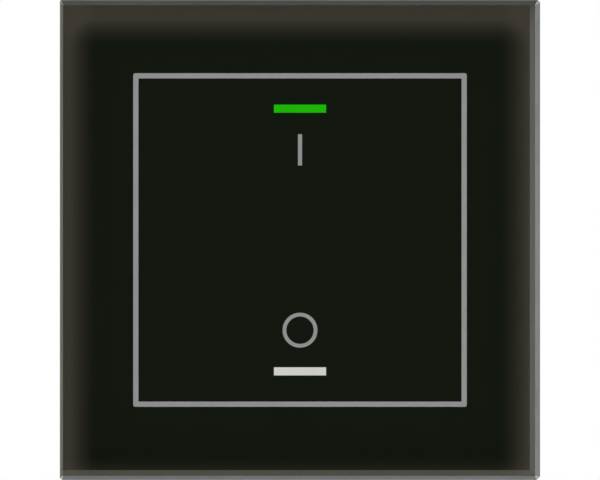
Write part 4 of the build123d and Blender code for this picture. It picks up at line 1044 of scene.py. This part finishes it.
class TOUCHSWITCH_OT_stage(bpy.types.Operator):
    """White room, pale floor, key light, dark card and camera"""

    bl_idname = "touch_switch.stage"
    bl_label = "Stage"

    def execute(self, context):
        settings = context.scene.touch_switch_stage
        context.scene.view_settings.view_transform = "Standard"
        self.add_room(context, settings)
        self.add_floor(context, settings)
        self.add_key_light(context, settings)
        self.add_card(context, settings)
        self.add_camera(context, settings)
        return {"FINISHED"}

    def add_room(self, context, settings):
        """White to the camera, in mirrors and through glass, and a little lower as a light."""
        world = bpy.data.worlds.new("white_room")
        world.use_nodes = True
        tree = world.node_tree
        tree.nodes.clear()
        paths = add_node(tree, "ShaderNodeLightPath")
        seen = add_node(
            tree,
            "ShaderNodeMath",
            {"operation": "MAXIMUM"},
            {0: paths.outputs["Is Camera Ray"], 1: paths.outputs["Is Glossy Ray"]},
        )
        seen_or_through = add_node(
            tree,
            "ShaderNodeMath",
            {"operation": "MAXIMUM"},
            {0: seen.outputs[0], 1: paths.outputs["Is Transmission Ray"]},
        )
        light = add_node(
            tree, "ShaderNodeBackground", inputs={"Color": WHITE, "Strength": settings.sky_level}
        )
        backdrop = add_node(tree, "ShaderNodeBackground", inputs={"Color": WHITE, "Strength": 1.0})
        choice = add_node(
            tree,
            "ShaderNodeMixShader",
            inputs={0: seen_or_through.outputs[0], 1: light.outputs[0], 2: backdrop.outputs[0]},
        )
        add_node(tree, "ShaderNodeOutputWorld", inputs={"Surface": choice.outputs[0]})
        context.scene.world = world

    def add_floor(self, context, settings):
        """A white floor that keeps the object's shadow, and is clear from below."""
        material, tree, surface = new_material("white_floor")
        paths = add_node(tree, "ShaderNodeLightPath")
        lift = add_node(
            tree,
            "ShaderNodeMath",
            {"operation": "MULTIPLY"},
            {0: paths.outputs["Is Camera Ray"], 1: settings.floor_lift},
        )
        glow = add_node(tree, "ShaderNodeEmission", inputs={"Strength": lift.outputs[0]})
        paper = add_node(tree, "ShaderNodeBsdfDiffuse", inputs={"Color": WHITE})
        both = add_node(tree, "ShaderNodeAddShader", inputs={0: paper.outputs[0], 1: glow.outputs[0]})
        # Mirrors show it as plain white as the room. The trace of diffuse, as dark as the print
        # behind the glass and facing as it does, helps the denoiser to keep grain off the glass.
        plain = add_node(tree, "ShaderNodeEmission")
        facing = add_node(tree, "ShaderNodeCombineXYZ", inputs={"Y": -1.0})
        dark = opaque(context.scene.touch_switch_print.dark_colour)
        trace = add_node(
            tree, "ShaderNodeBsdfDiffuse", inputs={"Color": dark, "Normal": facing.outputs[0]}
        )
        mirrored = add_node(
            tree, "ShaderNodeAddShader", inputs={0: plain.outputs[0], 1: trace.outputs[0]}
        )
        seen = add_node(
            tree,
            "ShaderNodeMixShader",
            inputs={0: paths.outputs["Is Glossy Ray"], 1: both.outputs[0], 2: mirrored.outputs[0]},
        )
        under = add_node(tree, "ShaderNodeNewGeometry").outputs["Backfacing"]
        clear = add_node(tree, "ShaderNodeBsdfTransparent")
        one_sided = add_node(
            tree, "ShaderNodeMixShader", inputs={0: under, 1: seen.outputs[0], 2: clear.outputs[0]}
        )
        tree.links.new(one_sided.outputs[0], surface)
        half = settings.floor_side / 2
        height = CAD_BOX[0].z - settings.floor_drop
        mesh = bpy.data.meshes.new("floor")
        corners = [(x, y, height) for x, y in rectangle(-half, -half, half, half)]
        mesh.from_pydata(corners, [], [(0, 1, 2, 3)])
        mesh.materials.append(material)
        floor = bpy.data.objects.new("floor", mesh)
        context.scene.collection.objects.link(floor)

    def add_key_light(self, context, settings):
        """A broad soft light from the upper left, kept out of the glass."""
        light = bpy.data.lights.new("key_light", "SUN")
        light.energy = settings.key_level
        light.angle = settings.key_spread
        lamp = bpy.data.objects.new("key_light", light)
        lamp.rotation_euler = Vector(settings.key_direction).to_track_quat("-Z", "Y").to_euler()
        lamp.visible_glossy = False
        lamp.visible_transmission = False
        context.scene.collection.objects.link(lamp)

    def add_card(self, context, settings):
        """The card behind the camera that the glass mirrors: dark in the middle, warm round it."""
        material, tree, surface = new_material("reflected_card")
        reach = (settings.camera_distance + settings.card_distance) / settings.camera_distance
        point = add_node(tree, "ShaderNodeTexCoord").outputs["Object"]
        place = add_node(tree, "ShaderNodeSeparateXYZ", inputs={0: point})
        sides = (
            ("X", settings.shade_left, -settings.fade_left),
            ("X", settings.shade_right, settings.fade_right),
            ("Z", settings.shade_bottom, -settings.fade_bottom),
            ("Z", settings.shade_top, settings.fade_top),
        )
        brightness = 0.0
        for axis, start, fade in sides:
            past = add_node(
                tree,
                "ShaderNodeMapRange",
                inputs={
                    "Value": place.outputs[axis],
                    "From Min": start * reach,
                    "From Max": (start + fade) * reach,
                },
            )
            brightness = add_node(
                tree,
                "ShaderNodeMath",
                {"operation": "MULTIPLY_ADD"},
                {0: past.outputs[0], 1: past.outputs[0], 2: brightness},
            ).outputs[0]
        capped = add_node(
            tree, "ShaderNodeMath", {"operation": "MINIMUM"}, {0: brightness, 1: settings.card_corner}
        )
        glow = add_node(
            tree,
            "ShaderNodeEmission",
            inputs={"Color": opaque(settings.card_colour), "Strength": capped.outputs[0]},
        )
        tree.links.new(glow.outputs[0], surface)
        half = settings.card_side / 2
        mesh = bpy.data.meshes.new("reflected_card")
        corners = [(x, 0, z) for x, z in rectangle(-half, -half, half, half)]
        mesh.from_pydata(corners, [], [(0, 1, 2, 3)])
        mesh.materials.append(material)
        card = bpy.data.objects.new("reflected_card", mesh)
        card.location.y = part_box("glass_plate")[0].y - settings.card_distance
        card.visible_camera = False
        card.visible_diffuse = False
        card.visible_shadow = False
        context.scene.collection.objects.link(card)

    def add_camera(self, context, settings):
        """Straight in front of the plate, which fills the picture's height."""
        low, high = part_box("glass_plate")
        glass = context.scene.touch_switch_glass
        outline_depth = low.y + glass.bevel_depth
        plate_height = high.z - low.z
        picture_width = plate_height * settings.picture_fill * IMAGE_WIDTH / IMAGE_HEIGHT
        camera = bpy.data.cameras.new("camera")
        camera.sensor_width = settings.sensor_width
        outline_distance = settings.camera_distance + glass.bevel_depth
        camera.lens = settings.sensor_width * outline_distance / picture_width
        holder = bpy.data.objects.new("camera", camera)
        holder.location = (0, outline_depth - outline_distance, (low.z + high.z) / 2)
        holder.rotation_euler = (math.radians(90), 0, 0)
        context.scene.collection.objects.link(holder)
        context.scene.camera = holder


class TOUCHSWITCH_PT_panel(bpy.types.Panel):
    """Lists the pieces and their settings"""

    bl_label = "Touch Light Switch"
    bl_idname = "TOUCHSWITCH_PT_panel"
    bl_space_type = "VIEW_3D"
    bl_region_type = "UI"
    bl_category = "Touch Switch"

    def draw(self, context):
        for operator in OPERATORS:
            self.layout.operator(operator.bl_idname)
        for name, group in SETTINGS.items():
            box = self.layout.box()
            box.label(text=group.__doc__)
            for setting in group.__annotations__:
                box.prop(getattr(context.scene, name), setting)


SETTINGS = {
    "touch_switch_glass": GlassPlateSettings,
    "touch_switch_print": PrintSettings,
    "touch_switch_finish": FinishSettings,
    "touch_switch_stage": StageSettings,
}
OPERATORS = (
    TOUCHSWITCH_OT_glass_plate,
    TOUCHSWITCH_OT_dark_print,
    TOUCHSWITCH_OT_grey_prints,
    TOUCHSWITCH_OT_windows,
    TOUCHSWITCH_OT_front_unit_finishes,
    TOUCHSWITCH_OT_wall_unit_finishes,
    TOUCHSWITCH_OT_board_finishes,
    TOUCHSWITCH_OT_stage,
)
CLASSES = (*SETTINGS.values(), *OPERATORS, TOUCHSWITCH_PT_panel)


def register():
    for cls in CLASSES:
        bpy.utils.register_class(cls)
    for name, group in SETTINGS.items():
        setattr(bpy.types.Scene, name, bpy.props.PointerProperty(type=group))


def unregister():
    for name in SETTINGS:
        delattr(bpy.types.Scene, name)
    for cls in reversed(CLASSES):
        bpy.utils.unregister_class(cls)


def main():
    register()
    bpy.ops.touch_switch.glass_plate()
    bpy.ops.touch_switch.dark_print()
    bpy.ops.touch_switch.grey_prints()
    bpy.ops.touch_switch.windows()
    bpy.ops.touch_switch.front_unit_finishes()
    bpy.ops.touch_switch.wall_unit_finishes()
    bpy.ops.touch_switch.board_finishes()
    bpy.ops.touch_switch.stage()


if __name__ == "__main__":
    main()
